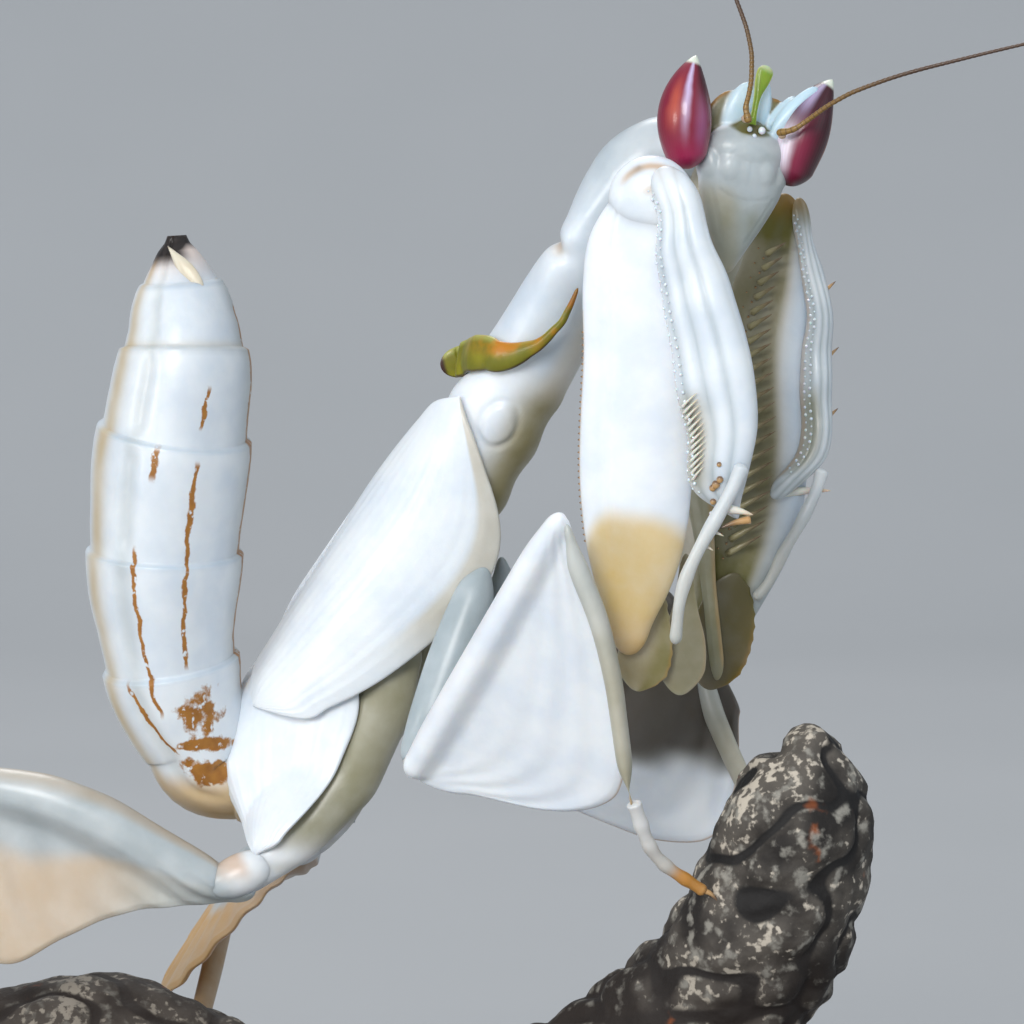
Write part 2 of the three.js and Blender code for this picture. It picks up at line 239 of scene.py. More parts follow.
# Sweeps a section along a line. shape(u, a) gives the offsets sideways and upwards.
def sweep(line, side, shape, rings=60, around=40, shares=None):
    u = (1 - np.cos(np.linspace(0, math.pi, rings))) / 2 if shares is None else shares
    rings = len(u)
    a = np.arange(around) * tau / around
    middle = strand(line, u)
    fine = strand(line, np.clip(np.stack([u - 0.004, u + 0.004]), 0, 1).reshape(-1))
    heading = unit(fine[rings:] - fine[:rings])
    across, upper = framing(heading, side)
    s, d = np.broadcast_arrays(*shape(u[:, None], a[None, :]))
    points = middle[:, None] + across[:, None] * s[..., None] + upper[:, None] * d[..., None]
    index = np.arange(rings * around).reshape(rings, around)
    turned = np.roll(index, -1, axis=1)
    quads = np.stack([index[:-1], turned[:-1], turned[1:], index[1:]], axis=-1).reshape(-1, 4)
    first, last = rings * around, rings * around + 1
    poles = [points[0].mean(axis=0), points[-1].mean(axis=0)]
    start = [[first, int(turned[0, j]), int(index[0, j])] for j in range(around)]
    close = [[last, int(index[-1, j]), int(turned[-1, j])] for j in range(around)]

    def spread(values, ends):
        return np.concatenate([np.broadcast_to(values, (rings, around)).reshape(-1), ends])

    made = sheetOf(np.concatenate([points.reshape(-1, 3), poles]), quads.tolist() + start + close)
    made["u"] = spread(u[:, None], [0, 1])
    made["a"] = spread(a[None, :], [0, 0])
    made["s"] = spread(s, [s[0].mean(), s[-1].mean()])
    made["fields"].update(along=made["u"], ringX=np.cos(made["a"]), ringY=np.sin(made["a"]))
    return made


# Rounds off the ends of a sweep over a share of its length
def dome(u, first, last):
    start = 1 if first <= 0 else np.sqrt(np.clip(1 - (1 - u / first).clip(0) ** 2, 0, 1))
    close = 1 if last <= 0 else np.sqrt(np.clip(1 - (1 - (1 - u) / last).clip(0) ** 2, 0, 1))
    return np.maximum(start * close, 0.02)


def oval(wide, deep, ends=(0.0, 0.0)):
    def shape(u, a):
        reach = dome(u, *ends)
        return wide(u) * reach * np.cos(a), deep(u) * reach * np.sin(a)

    return shape


# An egg: its middle, the way to a pole, and its half width and half depth
def egg(middle, pole, side, wide, deep, rings=60, around=60):
    shape = oval(steady(wide), steady(deep), (0.5, 0.5))
    return sweep([middle - pole, middle + pole], side, shape, rings, around)


def bead(spot, size, rings=6, around=8):
    return egg(spot, np.array([0, 0, size]), (1, 0, 0), size, size, rings, around)


# A thin spine or hair, from its root to its tip
def spine(root, tip, thick, bend=(0, 0, 0), around=6, rings=7):
    root, tip = np.asarray(root, float), np.asarray(tip, float)
    middle = (root + tip) / 2 + np.asarray(bend, float)
    side = unit(np.cross(tip - root, (0.31, 0.52, 0.8)))

    def size(u):
        return thick * (1 - u) ** 0.7 + 0.006

    return sweep([root, middle, tip], side, oval(size, size), around=around, shares=np.linspace(0, 1, rings))


def paint(sheet, **fields):
    for name, values in fields.items():
        sheet["fields"][name] = np.broadcast_to(values, (len(sheet["points"]),)).astype(float)
    return sheet


# Sheets of the one skin, with the nodes that it stands for, and the hard trimmings of the legs
sheets, replaced = [], []
claws, spines, combs, beads, warts, thorns = [], [], [], [], [], []


def addFlesh(sheet, **fields):
    sheets.append(paint(sheet, **fields))


def meshOf(name, points, faces):
    mesh = bpy.data.meshes.new(name)
    mesh.from_pydata(np.asarray(points).tolist(), [], faces)
    mesh.polygons.foreach_set("use_smooth", [True] * len(faces))
    return mesh


def joined(parts):
    starts = np.cumsum([0] + [len(part["points"]) for part in parts])
    faces = [[int(start) + k for k in face] for start, part in zip(starts, parts) for face in part["faces"]]
    return np.concatenate([part["points"] for part in parts]), faces


def placed(name, data):
    thing = bpy.data.objects.new(name, data)
    bpy.context.collection.objects.link(thing)
    return thing


# Joins sheets into one mesh object that rides with the part
def build(name, parts, material, replaced=()):
    points, faces = joined(parts)
    mesh = meshOf(name, points * 0.001, faces)
    for field in sorted({field for part in parts for field in part["fields"]}):
        values = [np.broadcast_to(part["fields"].get(field, 0.0), (len(part["points"]),)) for part in parts]
        layer = mesh.attributes.new(field, "FLOAT", "POINT")
        layer.data.foreach_set("value", np.concatenate(values).astype(np.float32))
    mesh.materials.append(material)
    mesh.update()
    piece = placed(name, mesh)
    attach(piece, "root")
    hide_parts(*replaced)
    print(name, len(faces), "faces")


def shade(text):
    parts = [int(text[k:k + 2], 16) / 255 for k in (1, 3, 5)]
    linear = [p / 12.92 if p <= 0.04045 else ((p + 0.055) / 1.055) ** 2.4 for p in parts]
    return (*linear, 1.0)


# Node recipes: a ground colour with tints laid over it, worked out from fields and from noise
class Recipe:
    def __init__(self, name, ground):
        self.material = bpy.data.materials.new(name)
        self.material.use_nodes = True
        self.tree = self.material.node_tree
        self.shader = self.tree.nodes["Principled BSDF"]
        self.spot = self.add("TexCoord").outputs["Object"]
        self.colour = shade(ground)

    def add(self, kind, **settings):
        node = self.tree.nodes.new("ShaderNode" + kind)
        for name, value in settings.items():
            setattr(node, name, value)
        return node

    def feed(self, socket, value):
        if isinstance(value, bpy.types.NodeSocket):
            self.tree.links.new(value, socket)
        else:
            socket.default_value = value

    def field(self, name):
        return self.add("Attribute", attribute_name=name).outputs["Fac"]

    def math(self, operation, *values):
        node = self.add("Math", operation=operation)
        for socket, value in zip(node.inputs, values):
            self.feed(socket, value)
        return node.outputs[0]

    def times(self, first, *others):
        for value in others:
            first = self.math("MULTIPLY", first, value)
        return first

    # How far a value lies from the middle, either way
    def away(self, value, middle):
        return self.math("ABSOLUTE", self.math("SUBTRACT", value, middle))

    # Noise swung about nothing, as wide as the size says
    def sway(self, value, size):
        return self.times(self.math("SUBTRACT", value, 0.5), size)

    def ramp(self, value, low, high, start=0.0, end=1.0, kind="SMOOTHSTEP"):
        node = self.add("MapRange", interpolation_type=kind)
        for socket, given in zip(node.inputs, (value, low, high, start, end)):
            self.feed(socket, given)
        return node.outputs[0]

    def mix(self, share, first, second):
        node = self.add("Mix", data_type="RGBA")
        for k, value in ((0, share), (6, first), (7, second)):
            self.feed(node.inputs[k], value)
        return node.outputs[2]

    def tint(self, share, colour):
        self.colour = self.mix(share, self.colour, shade(colour) if isinstance(colour, str) else colour)

    # Noise whose grains are this many millimetres across
    def noise(self, grain, detail=3.0, stretch=(1, 1, 1)):
        mapping = self.add("Mapping")
        self.feed(mapping.inputs["Vector"], self.spot)
        mapping.inputs["Scale"].default_value = [1000 / grain * k for k in stretch]
        node = self.add("TexNoise")
        for label, value in (("Vector", mapping.outputs[0]), ("Scale", 1.0), ("Detail", detail)):
            self.feed(node.inputs[label], value)
        return node.outputs["Fac"]

    def relief(self, height, strength, distance=0.00004):
        node = self.add("Bump")
        for label, value in (("Strength", strength), ("Distance", distance), ("Height", height)):
            self.feed(node.inputs[label], value)
        self.feed(self.shader.inputs["Normal"], node.outputs[0])

    def finish(self, **values):
        for name, value in {"BaseColor": self.colour, **values}.items():
            label = "".join(" " + c if c.isupper() else c for c in name).strip().title()
            self.feed(self.shader.inputs[label], value)
        return self.material


# The waxy skin, tinted where its fields say so
cuticle = {
    "white": "#edf1f5", "shadow": "#e0e7f0", "rust": "#7d4a12", "dark": "#1d110b",
    # the bluish and the grey tints are painted shade; the olive tint is the skin's own colour in some places
    # and painted shade in others
    "tints": {
        "cool": "#a9bccd", "aqua": "#9fd0e4", "warm": "#c9b184", "veil": "#7f867a", "olive": "#6f6a26",
        "pink": "#e0b7a6", "tan": "#d9bd7e", "amber": "#b9802e",
    },
    "umber": "#3a2a1a", "softness": 0.35, "roughness": 0.4, "gloss": 0.25,
    # brown stripes of the abdomen: from one ring to another, counted from its root, and the
    # degrees round from the middle of the back at either end, with their half width
    "stripes": (
        (2.05, 3.88, 71, 66, 2.4), (4.22, 4.66, 65, 62, 2.0), (3.68, 3.98, 97, 96, 2.6),
        (1.75, 3.12, 101, 108, 2.4), (1.45, 1.98, 108, 124, 2.4), (1.6, 5.6, 4, 4, 6.0),
    ),
}


def makeCuticle():
    r = Recipe("cuticle", cuticle["white"])
    cloud, grain = r.noise(1.6, 4), r.noise(0.35, 5)
    r.tint(r.ramp(cloud, 0.35, 0.7), cuticle["shadow"])
    wander = r.sway(cloud, 0.9)
    # tints laid where the fields say; the bluish and the grey ones are painted shade
    for field, colour in cuticle["tints"].items():
        felt = r.field(field)
        r.tint(r.math("MINIMUM", r.math("MULTIPLY_ADD", wander, felt, felt), 1.0), colour)
    brown = r.mix(grain, shade(cuticle["rust"]), shade(cuticle["tints"]["amber"]))
    place, rust = r.field("place"), r.field("rust")
    flank = r.math("ADD", r.sway(r.noise(0.5, 4), 9.0), r.field("flank"))
    worn = r.ramp(r.noise(0.22, 3), 0.3, 0.42)
    for start, end, first, last, wide in cuticle["stripes"]:
        away = r.away(flank, r.ramp(place, start, end, first, last, "LINEAR"))
        ends = r.times(r.ramp(place, start - 0.03, start + 0.05), r.ramp(place, end + 0.03, end - 0.05))
        r.tint(r.times(r.ramp(away, wide, wide * 0.5), ends, worn), brown)
    ragged = r.ramp(r.math("ADD", rust, r.sway(r.noise(0.5, 6), 1.5)), 0.42, 0.62)
    r.tint(r.times(ragged, worn, r.ramp(rust, 0.05, 0.3)), brown)
    r.tint(r.field("umber"), cuticle["umber"])
    r.tint(r.field("dark"), cuticle["dark"])
    r.relief(r.math("ADD", grain, r.times(cloud, 0.6)), 0.35)
    return r.finish(
        Roughness=cuticle["roughness"], CoatWeight=cuticle["gloss"], CoatRoughness=0.25,
        SubsurfaceWeight=cuticle["softness"], SubsurfaceScale=0.0006, SubsurfaceRadius=(1.0, 0.75, 0.6),
    )


skin = makeCuticle()

# Trunk: neck, pronotum with its groove, and the hind thorax
trunk = {
    "keel": 0.04, "saddle": 0.4, "groove": 0.16, "rim": 0.06, "folds": 0.035,
    # the lens-shaped fold on either flank behind the collar: how far it lies from the waist to the
    # next joint, the turn round from the back, its half length and half width, its rise and edge
    "lensPlace": 0.33, "lensTurn": 2.05, "lensSize": (0.034, 0.36), "lensRise": 0.035, "lensEdge": 0.04,
}


def makeTrunk():
    names = ["neck", "pronotum_front", "pronotum_rear", "mesothorax", "metathorax"]
    start, end = endOf("neck", (1, 0, 0.1)), endOf("metathorax", (-1, 0, -1))
    line, sizes, places, parts = follow(names, start, end, (0, -1, 0))
    throat, shoulder, waist = parts[1:4]
    lensPlace = waist + trunk["lensPlace"] * (parts[4] - waist)
    long, broad = trunk["lensSize"]

    def shape(u, a):
        wide, high = np.interp(u, places, sizes[:, 0]), np.interp(u, places, sizes[:, 1])
        top = np.clip(np.sin(a), 0, 1)
        shield = smooth(throat - 0.02, throat + 0.02, u) * (1 - smooth(waist - 0.01, waist + 0.02, u))
        beside = np.abs((a + math.pi / 2) % tau - math.pi)
        lens = np.hypot((u - lensPlace) / long, (beside - trunk["lensTurn"]) / broad)
        folds = np.sin(u * 70 + 2 * np.cos(a)) * (1 - shield) * smooth(waist, waist + 0.05, u)
        reach = 1 - trunk["groove"] * bump(shoulder, 0.012, u) * smooth(-0.5, 0.4, np.sin(a))
        reach = reach + trunk["rim"] * shield * bump(0.0, 0.35, np.sin(a) - 0.05) + trunk["folds"] * folds
        reach = reach + trunk["lensRise"] * smooth(1.0, 0.7, lens)
        reach = reach - trunk["lensEdge"] * bump(1.05, 0.16, lens)
        lift = trunk["keel"] * shield * bump(0, 0.22, np.cos(a)) * top
        lift = lift - trunk["saddle"] * bump(shoulder - 0.02, 0.06, u) * top
        return wide * reach * np.cos(a), high * reach * np.sin(a) + lift

    sheet = sweep(line, (0, -1, 0), shape, around=120, shares=np.linspace(0, 1, 240))
    u, y = sheet["u"], np.sin(sheet["a"])
    below, nape = smooth(-0.65, -1.0, y), smooth(shoulder, throat, u)
    belly = smooth(-0.3, -0.8, y) * smooth(waist - 0.03, waist + 0.05, u)
    shield = smooth(throat - 0.03, throat + 0.02, u) * smooth(waist + 0.02, waist - 0.05, u)
    # painted shade: grey at the nape under the head, bluish over the shield of the pronotum and along the
    # lower flanks
    addFlesh(
        sheet,
        warm=0.4 * below + 0.4 * bump(shoulder, 0.012, u) * smooth(-0.3, 0.3, y) + 0.35 * belly,
        olive=0.42 * belly + 0.3 * below * belly,
        cool=0.3 * shield + 0.25 * nape + 0.15 * smooth(0.2, -0.4, y) * (1 - below),
        veil=0.3 * nape, amber=0.4 * bump(shoulder, 0.008, u) * smooth(0, 0.5, y),
    )
    replaced.extend(names)


makeTrunk()

# Abdomen: ringed, curled up over the back, striped and blotched with brown
abdomen = {
    "step": 0.16, "groove": 0.12, "side": (0.438, -0.899, 0), "tip": 0.3,
    # blotches: where they lie to the right and how far they spread, the same upwards, and strength
    "blotches": ((-9.75, 0.9, 27.6, 0.95, 1.0), (-9.5, 1.2, 26.6, 0.19, 0.9), (-9.4, 1.25, 25.75, 0.48, 1.0)),
    "apricot": (25.8, 24.9),  # heights where the warm root of the abdomen starts and is full
}


def makeAbdomen():
    names = [f"abdomen_{k}" for k in range(1, 8)]
    start, end = endOf("abdomen_1", (1, 0, 0.9)), endOf("abdomen_7", (0, 0, 1), 0.2)
    line, sizes, places, edges = follow(names, start, end, abdomen["side"])
    sizes[-1] = abdomen["tip"]

    # which ring, and how far along it
    def within(u):
        k = np.clip(np.searchsorted(edges, u, side="right") - 1, 0, 6)
        low, high = np.array(edges)[k], np.array(edges)[k + 1]
        return k, (u - low) / (high - low)

    def shape(u, a):
        wide, high = np.interp(u, places, sizes[:, 0]), np.interp(u, places, sizes[:, 1])
        k, v = within(u)
        proud = abdomen["step"] * (smooth(0, 0.9, v) - 0.3) * smooth(1.0, 0.965, v) * (k < 6)
        side = bump(-0.45, 0.13, a - tau * (a > math.pi)) + bump(math.pi + 0.45, 0.13, a)
        grow = proud - abdomen["groove"] * side * smooth(0, 0.2, v) * smooth(1, 0.8, v)
        return (wide + grow) * np.cos(a), (high + grow) * np.sin(a)

    steps = [np.linspace(edge - 0.006, edge + 0.006, 7) for edge in edges[1:-1]]
    shares = np.unique(np.concatenate([np.linspace(0, 1, 200), *steps]))
    sheet = sweep(line, abdomen["side"], shape, around=176, shares=shares)
    u, a = sheet["u"], np.degrees(sheet["a"])
    a = np.where(a > 180, a - 360, a)
    k, v = within(u)
    z, beside = sheet["points"][:, 2], sheet["points"] @ right
    low = smooth(edges[2], edges[1] + 0.02, u) * smooth(*abdomen["apricot"], z)
    blotch = sum(s * bump(x, wide, beside) * bump(y, high, z) for x, wide, y, high, s in abdomen["blotches"])
    blotch = blotch * smooth(75, 50, np.abs(a))
    end = smooth(edges[6] - 0.01, 0.99, u)
    # painted shade: bluish in the grooves between the rings and faintly all over, and faintly grey all over
    addFlesh(
        sheet,
        place=k + v, flank=np.abs(np.where(a < -90, a + 360, a) - 90), rust=0.8 * np.clip(blotch, 0, 1),
        warm=0.75 * bump(-59, 11, a) + 0.25 * bump(edges[5], 0.006, u) + 0.45 * low + 0.3 * end,
        olive=0.18 * bump(-27, 8, a) * (1 - end) + 0.25 * smooth(55, 85, a) * (k < 6),
        cool=0.4 * sum(bump(edge - 0.004, 0.0035, u) for edge in edges[2:7]) + 0.15, veil=0.1,
        tan=0.55 * low, pink=0.45 * end + 0.35 * low, amber=0.12 * low,
        dark=smooth(0.955, 0.975, u) * smooth(110, 60, np.abs(a + 60)) + smooth(0.98, 0.99, u),
    )
    replaced.extend(names)


makeAbdomen()

# How far a limb's two edges lie beyond those of its solid, in mm, from one joint to the other
edgeTrims = {
    "fore_right_femur": (
        (0, 0, -0.07, -0.2, -0.28, -0.33, -0.44, -0.35, 0.1), (0, 0, 0, 0, 0, 0.1, 0.2, 0.1, 0),
    ),
    "fore_left_femur": ((0, 0, 0, 0, -0.1, -0.3, -0.5, -0.3, 0), (-0.4, 0, 0.6, 0.7, 0.3, 0.2, 0)),
    "fore_right_tibia": (
        (0.1, 0.45, 0.35, 0.25, 0.1, -0.1, -0.15, -0.5, 0.7),
        (0.35, 0.5, 0.27, 0.22, 0.25, 0.27, 0.25, 0.1, 0.1),
    ),
    "fore_left_tibia": (
        (-0.4, -0.1, 0.35, 0.7, 0.75, 0.7, 0.6, 0.1, -0.6),
        (-0.4, -0.35, -0.1, 0.1, 0.15, 0.15, 0.2, 0.2, -0.4),
    ),
    "fore_right_coxa": ((0, 0), (0, -0.2, -0.5, -0.6, -0.5)),
    "hind_right_femur": ((0.4, 0.5, 0.2, 0, 0), (0.5, 0.5, 0.3, 0.1, 0)),
}
for place, slim in (("mid", 0.16), ("hind", 0.1)):
    for hand in ("right", "left"):
        edgeTrims[f"{place}_{hand}_tibia"] = ((0.05, slim, slim, slim), (-0.05, -slim / 2, -slim, -slim))


# Limbs: a round shaft along one edge, and a thin petal out to the other
def limb(name, start, end, hint, rings=120, around=96, ends=(0.03, 0.03), petal=0.0, relief=None, reach=0.0):
    heading = unit(end - start)
    first, last = np.broadcast_to(reach, 2)
    start, end = start - heading * first, end + heading * last
    across, upper, (lowest, highest, under, over) = slices(name, start, end, hint)
    lowTrim, highTrim = edgeTrims.get(name, ((0, 0), (0, 0)))
    facing = -np.sign(upper @ back)  # 1 where its upper face is the one in view

    def low(u):
        return lowest(u) + through(lowTrim, u)

    def high(u):
        return highest(u) + through(highTrim, u)

    def half(u):
        return (over(u) - under(u)) / 2

    def shape(u, a):
        fall = dome(u, *ends)
        middle = (low(u) + high(u)) / 2 if petal <= 0 else low(u) + half(u)
        first = middle + (low(u) - middle) * fall
        last = middle + (high(u) - middle) * fall
        s = first + (last - first) * (1 + np.cos(a)) / 2
        thick = half(u) * fall
        if petal > 0:
            inward = s - first
            shaft = np.sqrt(np.clip(thick**2 - np.clip(thick - inward, 0, None) ** 2, 0, None))
            thin = petal * np.sqrt(np.clip((last - s) / 0.25, 0, 1)) * fall
            h = shaft + (np.minimum(thin, shaft) - shaft) * smooth(1.1 * thick, 2.6 * thick, inward)
            d = h * np.sign(np.sin(a))
        else:
            d = thick * np.sin(a)
        if relief:
            share = (s - low(u)) / np.maximum(high(u) - low(u), 0.1)
            d = d + relief(u, a, share)
        return s, d + (over(u) + under(u)) / 2

    # the spot at shares along and across it, and above or below its middle
    def at(u, share, rise=0.0):
        s = low(u) + (high(u) - low(u)) * share
        d = (over(u) + under(u)) / 2 + rise * half(u)
        return start + (end - start) * u + across * s + upper * d

    # the spot of its face in view that lies before or behind a point
    def front(point, proud=0.0):
        u = (point - start) @ heading / np.linalg.norm(end - start)
        s = (point - start) @ across
        share = np.clip((s - low(u)) / (high(u) - low(u)), 0, 1)
        beside = s - low(u) - (high(u) - low(u)) * share
        rise = 2 * facing * math.sqrt(share * (1 - share))
        return at(u, share, rise) + across * beside + upper * facing * proud

    made = sweep([start, (start + end) / 2, end], across, shape, rings, around)
    u = made["u"]
    made["share"] = np.clip((made["s"] - low(u)) / np.maximum(high(u) - low(u), 0.1), 0, 1)
    made["toward"] = smooth(-0.1, 0.3, np.sin(made["a"]) * facing)
    made.update(at=at, front=front, facing=facing, frame=(unit(end - start), across, upper))
    replaced.append(name)
    return made


def joints(leg):
    hip, trochanter = sorted(tips(f"{leg}_coxa"), key=lambda tip: -tip[2])
    shin = corners(f"{leg}_tibia").reshape(-1, 3).mean(axis=0)
    ankle, toe = sorted(tips(f"{leg}_tarsus"), key=lambda tip: np.linalg.norm(tip - shin))
    knee = max(tips(f"{leg}_tibia"), key=lambda tip: np.linalg.norm(tip - ankle))
    return hip, trochanter, knee, ankle, toe


# A foot of short segments, along a line from the ankle to the toe, with two claws if it is amber
def foot(line, thick, spread, knobs=5, amber=1.0):
    def size(u):
        return thick * (0.9 + 0.14 * np.abs(np.cos(knobs * math.pi * u)) ** 3 - 0.2 * u)

    sheet = sweep(line, spread, oval(size, size, (0.03, 0.05)), 90, 24)
    u = sheet["u"]
    # the grey tint is painted shade, stronger towards the toe
    addFlesh(sheet, amber=amber * (0.12 + 0.8 * smooth(0.6, 0.75, u)), warm=0.25 * smooth(0.1, 0.8, u),
             veil=0.3 + 0.2 * u, dark=amber * 0.5 * smooth(0.95, 1, u))
    if amber:
        toe = np.asarray(line[-1], float)
        onward = unit(toe - line[-2])
        for hand in (-1, 1):
            out = toe + onward * 0.42 + unit(spread) * 0.22 * hand
            claws.append(spine(toe - onward * 0.1, out, thick * 0.4, (0, 0, 0.08)))


# Fore legs: long coxae with lobed ends, toothed femora, and ridged tibiae folded against them
foreLegs = {
    "teeth": 34, "toothLength": 0.07, "innerSpines": 21, "spineLength": 1.2, "comb": 13,
    "ridge": 0.035, "beads": 34, "beadSize": 0.045, "petal": 0.16,
    "outerSpines": ((0.3, 0.42), (0.52, 0.45), (0.72, 0.4)),  # share along the far tibia, length
    # the near knee: mm left of, below and behind the joint, half height, half width, half depth
    "knee": (0.25, 0.32, 0.62, 1.3, 1.27, 0.66),
    # the tarsus: mm right of, above and in front of the ankle
    "bow": {
        "fore_right": (
            (0.59, 1.4, 0.35), (0.27, 0.68, 0.4), (-0.18, -0.15, 0.4), (-0.53, -0.77, 0.4),
            (-0.83, -1.37, 0.35), (-1.07, -1.96, 0.3), (-1.25, -2.7, 0.2), (-1.37, -3.9, 0.1),
        ),
        "fore_left": (
            (0.48, 0.67, 0.2), (0.22, -0.13, 0.25), (-0.25, -1.08, 0.3), (-0.7, -1.87, 0.3),
            (-1.17, -2.82, 0.25), (-1.6, -3.36, 0.2),
        ),
    },
    # spines around the ankle: root and tip as mm right of and above it, and their thickness
    "ankleSpines": {
        "fore_right": (
            (-0.06, 0.09, 0.89, -0.09, 0.17, combs), (0.8, -0.24, -0.09, -0.48, 0.12, claws),
            (-0.4, -0.6, 0.03, -0.71, 0.07, combs), (-0.6, -1.05, -0.27, -1.13, 0.06, combs),
            (-1.28, 0.95, -0.39, 0.91, 0.09, combs),
        ),
        "fore_left": (
            (-0.85, -0.1, 0.75, -0.02, 0.19, combs), (-0.95, -0.5, -0.5, -0.62, 0.08, combs),
            (-1.3, -0.85, -0.8, -1.05, 0.08, combs), (-1.45, -1.6, -1.15, -1.7, 0.06, combs),
        ),
    },
    # drops and warts on the near leg: mm right of and above the ankle, and their size
    "drops": (
        (-0.59, 0.45, 0.06, beads), (-0.71, 0.03, 0.07, beads), (-0.71, -0.48, 0.06, beads),
        (-0.59, -0.24, 0.04, beads), (-0.03, 1.37, 0.08, warts), (-0.27, 0.68, 0.11, warts),
        (-0.16, 0.78, 0.13, warts), (-0.03, 0.93, 0.11, warts), (-0.3, 0.27, 0.1, warts),
    ),
}


# Lengthwise ridges of the tibia, from 0 in a valley to 1 on a crest
def crests(u, share):
    return np.abs(np.cos(math.pi * (share * 3.6 + 0.12 * np.sin(5 * u)))) ** 0.8


def makeForeFemur(leg, near, trochanter, knee, hint):
    spot, wide, deep = (0.3, 0.02, 0.03) if near else (0.62, 0.1, 0.12)

    def groove(u, a, share):
        run = smooth(0.15, 0.3, u) * smooth(1, 0.85, u)
        return -np.sign(np.sin(a)) * deep * bump(spot, wide, share) * run

    femur = limb(f"{leg}_femur", trochanter, knee, hint, 170, 110, (0.05, 0.2 if near else 0.13),
                 relief=groove, reach=(0.25, 0.6))
    u, share = femur["u"], femur["share"]
    if near:
        # the tan patch at the lower end has an arched upper edge
        brow = 0.318 - 0.65 * np.clip(0.35 - share, 0, 1) ** 2 - 0.18 * np.clip(share - 0.6, 0, 1) ** 2
        # a faint bluish painted shade runs lengthwise near the groove
        addFlesh(
            femur, tan=0.85 * smooth(-0.01, 0.05, brow - u), cool=0.1 * bump(0.2, 0.05, share),
            amber=0.35 * smooth(0.03, 0.0, share) * (u < 0.7) + 0.35 * smooth(0.12, 0.0, u),
            warm=0.12 * smooth(0.93, 1, u) + 0.35 * smooth(0.16, 0.02, u),
        )
    else:
        # the far femur is painted shade: olive and umber over its inner face, olive at both ends, and bluish
        # in the band by the tibia
        inner = smooth(0.1, 0.3, share) * smooth(0.84, 0.72, share)
        addFlesh(
            femur, olive=0.7 * inner + 0.45 * smooth(0.42, 0.1, u) + 0.5 * smooth(0.85, 0.95, u),
            umber=0.12 * inner, warm=0.5 * smooth(0.95, 0.7, share), amber=0.4 * smooth(0.93, 0.99, u),
            cool=0.5 * smooth(0.72, 0.84, share),
        )
    return femur


def makeForeTibia(leg, near, knee, ankle, hint):
    def ridged(u, a, share):
        run = smooth(0.02, 0.15, u) * smooth(1, 0.88, u) * (1 - smooth(0.78, 0.9, share))
        return -np.sign(np.sin(a)) * foreLegs["ridge"] * (1 - crests(u, share)) * run

    tibia = limb(f"{leg}_tibia", knee, ankle, hint, 150, 120, (0.12, 0.1), relief=ridged, reach=(0.65, 0.3))
    u, share = tibia["u"], tibia["share"]
    valley = 1 - crests(u, share)
    comb = bump(0.16, 0.2, share) * smooth(0.6, 0.7, u) * smooth(0.93, 0.86, u)
    # painted shade: grey and bluish in the valleys between the ridges, grey over the comb's ground and
    # faintly bluish all over; on the far leg grey all over and olive at the knee
    addFlesh(
        tibia, warm=0.5 * comb, veil=0.5 * comb + 0.12 * valley + (0.06 if near else 0.25),
        cool=0.35 * valley * smooth(0.85, 0.75, share) * smooth(0.05, 0.2, u) + 0.2,
        olive=0.1 * valley + 0.1 * bump(0.95, 0.06, u) + (0 if near else 0.75) * smooth(0.14, 0.02, u),
        amber=0.3 * smooth(0.035, 0.0, share)
        + (0.1 * smooth(0.06, 0, u) if near else 0.35 * smooth(0.1, 0.0, u)),
    )
    return tibia


# The rounded near knee, with its brown arcs
def makeKnee(knee, femur):
    left, below, behind, pole, wide, deep = foreLegs["knee"]
    middle = femur["front"](knee - right * left - up * below) + back * behind
    cap = egg(middle, up * pole, right, wide, deep)
    away = cap["points"] - middle
    ring, turn = np.linalg.norm(away, axis=1), np.degrees(np.arctan2(away @ up, away @ right))
    arc = bump(1.08, 0.07, ring) * smooth(165, 130, turn) * smooth(35, 60, turn)
    arc = arc + 0.7 * bump(0.72, 0.05, ring) * smooth(160, 120, turn) * smooth(20, 60, turn)
    addFlesh(cap, amber=0.55 * arc, tan=0.2 * arc)


def dressAnkle(leg, near, ankle, femur, tibia):
    for x, z, tipX, tipZ, thick, group in foreLegs["ankleSpines"][leg]:
        root = ankle + right * x + up * z
        tip = ankle + right * tipX + up * tipZ
        if near and x < -1:
            root, tip = femur["front"](root), femur["front"](tip) - back * 0.25
        elif near:
            root, tip = root - back * 0.15, tip - back * 0.3
        group.append(spine(root, tip, thick, up * 0.04, 10, 12))
    for x, z, size, group in foreLegs["drops"] if near else []:
        carrier = femur if x < -0.5 else tibia
        group.append(bead(carrier["front"](ankle + right * x + up * z), size))


# Fine teeth along the femur's edge, and long spines on its inner face
def dressFemur(near, femur):
    heading, across, upper = femur["frame"]
    inward = 1.0 if near else -1.0
    out = upper * inward
    for k in range(foreLegs["teeth"]):
        root = femur["at"](0.22 + 0.44 * (k + 0.5) / foreLegs["teeth"], 0.0)
        spines.append(spine(root + across * 0.04, root - across * foreLegs["toothLength"], 0.05))
    for k in range(foreLegs["innerSpines"]):
        share = (k + 0.5) / foreLegs["innerSpines"]
        long = foreLegs["spineLength"] * (0.6 + 0.5 * smooth(1, 0.2, share))
        root = femur["at"](0.25 + 0.64 * share, 0.5, inward * 0.96)
        tip = root + across * long * 0.75 + heading * long * 0.62 + out * 0.36
        thorns.append(spine(root, tip, 0.115, out * 0.08))
        warts.append(bead(root - across * 0.1 - heading * 0.16 + out * 0.03, 0.04))
        warts.append(bead(root - across * 0.32 + heading * 0.1 + out * 0.03, 0.03))


